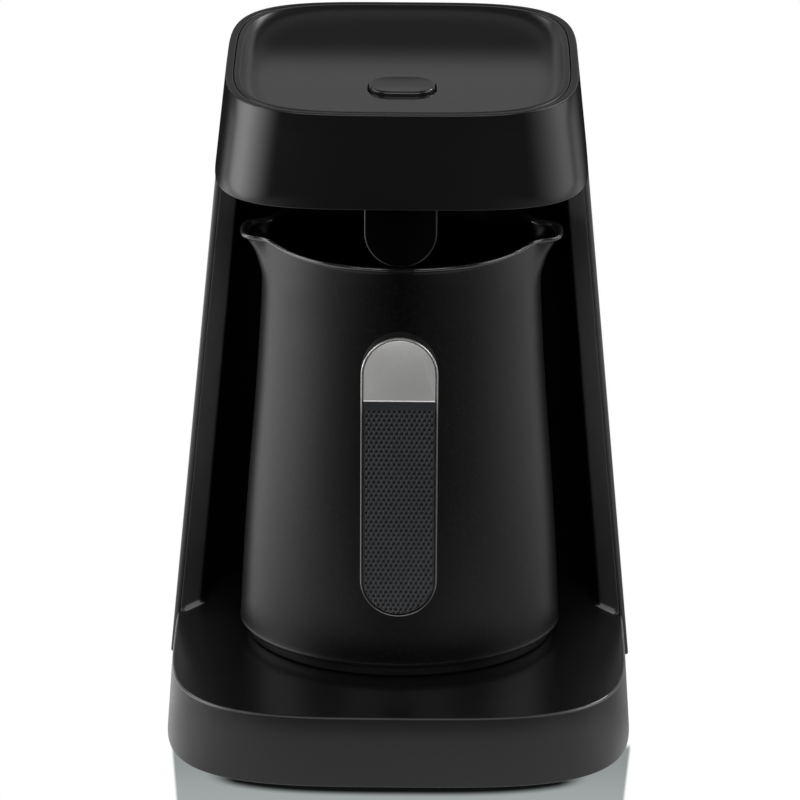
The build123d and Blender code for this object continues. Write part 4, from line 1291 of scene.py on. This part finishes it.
def floor_mat():
    """White table with painted light: a grey, sharp-sided painted reflection of the base lies just in front of it and
    fades out, a painted contact shadow makes a dark line where they meet, and painted shadow lies behind the base.
    """
    m = stage_mat("floor", 1.0)
    nt = m.node_tree
    em = next(n for n in nt.nodes if n.type == "EMISSION")
    tc = nt.nodes.new("ShaderNodeTexCoord")
    sep = nt.nodes.new("ShaderNodeSeparateXYZ")
    nt.links.new(tc.outputs["Object"], sep.inputs["Vector"])

    def op(kind, a, b=None, clamp=False):
        n = nt.nodes.new("ShaderNodeMath")
        n.operation = kind
        n.use_clamp = clamp
        for i, v in enumerate((a, b)):
            if v is None:
                continue
            if isinstance(v, (int, float)):
                n.inputs[i].default_value = v
            else:
                nt.links.new(v, n.inputs[i])
        return n.outputs[0]

    def step(v, lo, hi, a, b):
        n = nt.nodes.new("ShaderNodeMapRange")
        n.interpolation_type = "SMOOTHSTEP"
        n.inputs["From Min"].default_value = lo
        n.inputs["From Max"].default_value = hi
        n.inputs["To Min"].default_value = a
        n.inputs["To Max"].default_value = b
        nt.links.new(v, n.inputs["Value"])
        return n.outputs["Result"]

    x, y = sep.outputs["X"], sep.outputs["Y"]
    # painted reflection: a grey, sharp-sided copy of the base's footprint on the table in front of it, fading out
    # forward
    ax = op("ABSOLUTE", op("SUBTRACT", x, 0.0009))
    edge = op("ADD", op("MULTIPLY", op("ADD", y, 0.0405), 0.070), 0.0695)
    soft = op("ADD", op("MULTIPLY", op("MAXIMUM", op("SUBTRACT", -0.092, y), 0.0), 0.45), 0.0004)
    side = op("ADD", op("DIVIDE", op("SUBTRACT", edge, ax), op("MULTIPLY", soft, 2.0)), 0.5, True)
    painted_reflection = op("MULTIPLY", side, step(y, -0.175, -0.090, 0.0, 1.0))
    painted_reflection = op("MULTIPLY", painted_reflection, step(y, -0.043, -0.037, 1.0, 0.0))
    # how far out from the foot of the base, 1 at its edge
    ux = op("POWER", op("DIVIDE", op("ABSOLUTE", x), 0.0698), 3.55)
    uy = op("POWER", op("DIVIDE", op("ABSOLUTE", op("ADD", y, 0.0151)), 0.066), 3.55)
    k = op("POWER", op("ADD", ux, uy), 1.0 / 3.55)
    k = op("ADD", k, op("MULTIPLY", op("MULTIPLY", x, x), 8.4))
    # painted contact shadow: a dark line where the base's front meets the table
    painted_contact_shadow = op("MULTIPLY", step(k, 0.978, 1.060, 0.985, 0.0), step(op("ABSOLUTE", x), 0.048, 0.0585, 1.0, 0.0))
    painted_contact_shadow = op("MULTIPLY", painted_contact_shadow, step(y, -0.03, 0.0, 1.0, 0.0))
    # painted shadow behind the base, darkest right under its rear edge
    back = op("MULTIPLY", step(y, 0.081, 0.125, 0.55, 0.0), step(op("ABSOLUTE", x), 0.050, 0.068, 1.0, 0.0))
    under = op("MULTIPLY", step(y, 0.081, 0.089, 0.92, 0.0), step(op("ABSOLUTE", x), 0.052, 0.061, 1.0, 0.0))
    back = op("MULTIPLY", op("MAXIMUM", back, under), step(y, 0.058, 0.066, 0.0, 1.0))
    # grey level of the painted reflection
    level = step(y, -0.088, -0.050, 0.385, 0.30)
    strength = op("ADD", op("MULTIPLY", painted_reflection, op("SUBTRACT", level, 1.0)), 1.0)
    strength = op("MULTIPLY", strength, op("SUBTRACT", 1.0, op("MAXIMUM", painted_contact_shadow, back)))
    # slight cool tint of the painted reflection
    mix = nt.nodes.new("ShaderNodeMix")
    mix.data_type = 'RGBA'
    nt.links.new(painted_reflection, mix.inputs["Factor"])
    mix.inputs["A"].default_value = (1.0, 1.0, 1.0, 1.0)
    mix.inputs["B"].default_value = (0.905, 1.0, 0.985, 1.0)
    nt.links.new(mix.outputs["Result"], em.inputs["Color"])
    nt.links.new(strength, em.inputs["Strength"])
    return m


def board_mat(name, strength, y0, y1, y2, y3):
    """Pale board standing on the table, brightest in its middle; the ends fade out."""
    m = stage_mat(name, strength)
    nt = m.node_tree
    em = next(n for n in nt.nodes if n.type == "EMISSION")
    tc = nt.nodes.new("ShaderNodeTexCoord")
    sep = nt.nodes.new("ShaderNodeSeparateXYZ")
    nt.links.new(tc.outputs["Object"], sep.inputs["Vector"])
    out = []
    for a, b, lo, hi in ((y0, y1, 0.0, strength), (y2, y3, 1.0, 0.05)):
        r = nt.nodes.new("ShaderNodeMapRange")
        r.interpolation_type = "SMOOTHSTEP"
        r.inputs["From Min"].default_value = a
        r.inputs["From Max"].default_value = b
        r.inputs["To Min"].default_value = lo
        r.inputs["To Max"].default_value = hi
        nt.links.new(sep.outputs["Y"], r.inputs["Value"])
        out.append(r.outputs["Result"])
    mul = nt.nodes.new("ShaderNodeMath")
    mul.operation = "MULTIPLY"
    nt.links.new(out[0], mul.inputs[0])
    nt.links.new(out[1], mul.inputs[1])
    nt.links.new(mul.outputs[0], em.inputs["Strength"])
    return m


def card_mat():
    """Pale background: even up to a soft upper edge."""
    m = stage_mat("card", CARD)
    nt = m.node_tree
    em = next(n for n in nt.nodes if n.type == "EMISSION")
    tc = nt.nodes.new("ShaderNodeTexCoord")
    sep = nt.nodes.new("ShaderNodeSeparateXYZ")
    nt.links.new(tc.outputs["Object"], sep.inputs["Vector"])
    r = nt.nodes.new("ShaderNodeMapRange")
    r.interpolation_type = "SMOOTHSTEP"
    r.inputs["From Min"].default_value = CARD_SOFT[0] - CARD_MID
    r.inputs["From Max"].default_value = CARD_SOFT[1] - CARD_MID
    r.inputs["To Min"].default_value = CARD
    r.inputs["To Max"].default_value = 0.03
    nt.links.new(sep.outputs["Y"], r.inputs["Value"])
    nt.links.new(r.outputs["Result"], em.inputs["Strength"])
    return m


CARD = 0.275
CARD_MID = 0.95
CARD_SOFT = (1.08, 1.30)
TABLE_L, TABLE_R, NEAR_TABLE = 1.15, 0.50, 0.64

floor = stage_plane("floor", 60, 60, (0, 0, 0), (0, 0, 0), floor_mat())
floor.visible_diffuse = False
floor.visible_glossy = False
floor.visible_shadow = False

under = stage_plane("floor_for_bounce", 6, 6, (0, 0, -0.0005), (0, 0, 0), spread_mat())
under.visible_camera = False
card = stage_plane("back_card", 3.4, 2.3, (0, 3.0, CARD_MID), (math.radians(90), 0, 0), card_mat())
card.visible_camera = False
card.visible_diffuse = False
for name, x, mat in (("left_board", -1.0, board_mat("left_board", 3.1, -0.85, 0.20, 0.10, 1.10)),
                     ("right_board", 1.0, board_mat("right_board", 1.12, -0.85, 0.30, 0.25, 1.50))):
    me = bpy.data.meshes.new(name)
    me.from_pydata([(x, -1.0, 0.0), (x, 2.0, 0.0), (x, 2.0, 0.30), (x, -1.0, 0.30)], [], [(0, 1, 2, 3)])
    me.materials.append(mat)
    b = bpy.data.objects.new(name, me)
    bpy.context.scene.collection.objects.link(b)
    b.visible_camera = False


def soft_box(name, loc, target, sx, sy, power, color=(1, 1, 1)):
    ld = bpy.data.lights.new(name, "AREA")
    ld.shape = "RECTANGLE"
    ld.size, ld.size_y = sx, sy
    ld.energy = power
    ld.color = color
    ob = bpy.data.objects.new(name, ld)
    bpy.context.scene.collection.objects.link(ob)
    ob.location = loc
    from mathutils import Vector
    ob.rotation_euler = (Vector(target) - Vector(loc)).to_track_quat("-Z", "Y").to_euler()
    ob.visible_camera = False
    return ob


soft_box("left_box", (-1.05, 0.15, 0.86), (0, 0, 0.12), 0.9, 0.8, 4.5)
soft_box("right_box", (1.05, 0.15, 0.86), (0, 0, 0.12), 0.9, 0.8, 4.5)
soft_box("front_top_box", (0.0, -0.95, 1.15), (0, 0, 0.1), 2.0, 1.2, 17.0)

soft_box("right_rear_box", (0.93, 1.49, 1.34), (0, 0.05, 0.2), 0.62, 0.45, 5.5)
soft_box("left_rear_box", (-0.93, 1.49, 1.34), (0, 0.05, 0.2), 0.62, 0.45, 1.9)

world = bpy.data.worlds.new("studio")
world.use_nodes = True
bg = world.node_tree.nodes["Background"]
bg.inputs["Color"].default_value = (1, 1, 1, 1)
bg.inputs["Strength"].default_value = 0.014
bpy.context.scene.world = world

cam_d = bpy.data.cameras.new("camera")
cam_d.sensor_width = 36.0
cam_d.lens = 291.15
cam_d.shift_x = -0.0009
cam_d.clip_end = 60.0
cam = bpy.data.objects.new("camera", cam_d)
bpy.context.scene.collection.objects.link(cam)
AZ = math.radians(0.30)
cam.location = (1.882 * math.sin(AZ), -1.882 * math.cos(AZ), 0.6875)
from mathutils import Matrix
cam.rotation_euler = (Matrix.Rotation(AZ, 3, "Z") @ Matrix.Rotation(math.radians(90 - 17.42), 3, "X")
                      @ Matrix.Rotation(math.radians(0.32), 3, "Z")).to_euler()
bpy.context.scene.camera = cam

vs = bpy.context.scene.view_settings
vs.view_transform = "Standard"
vs.look = "None"
vs.exposure = 0.0
vs.gamma = 1.0
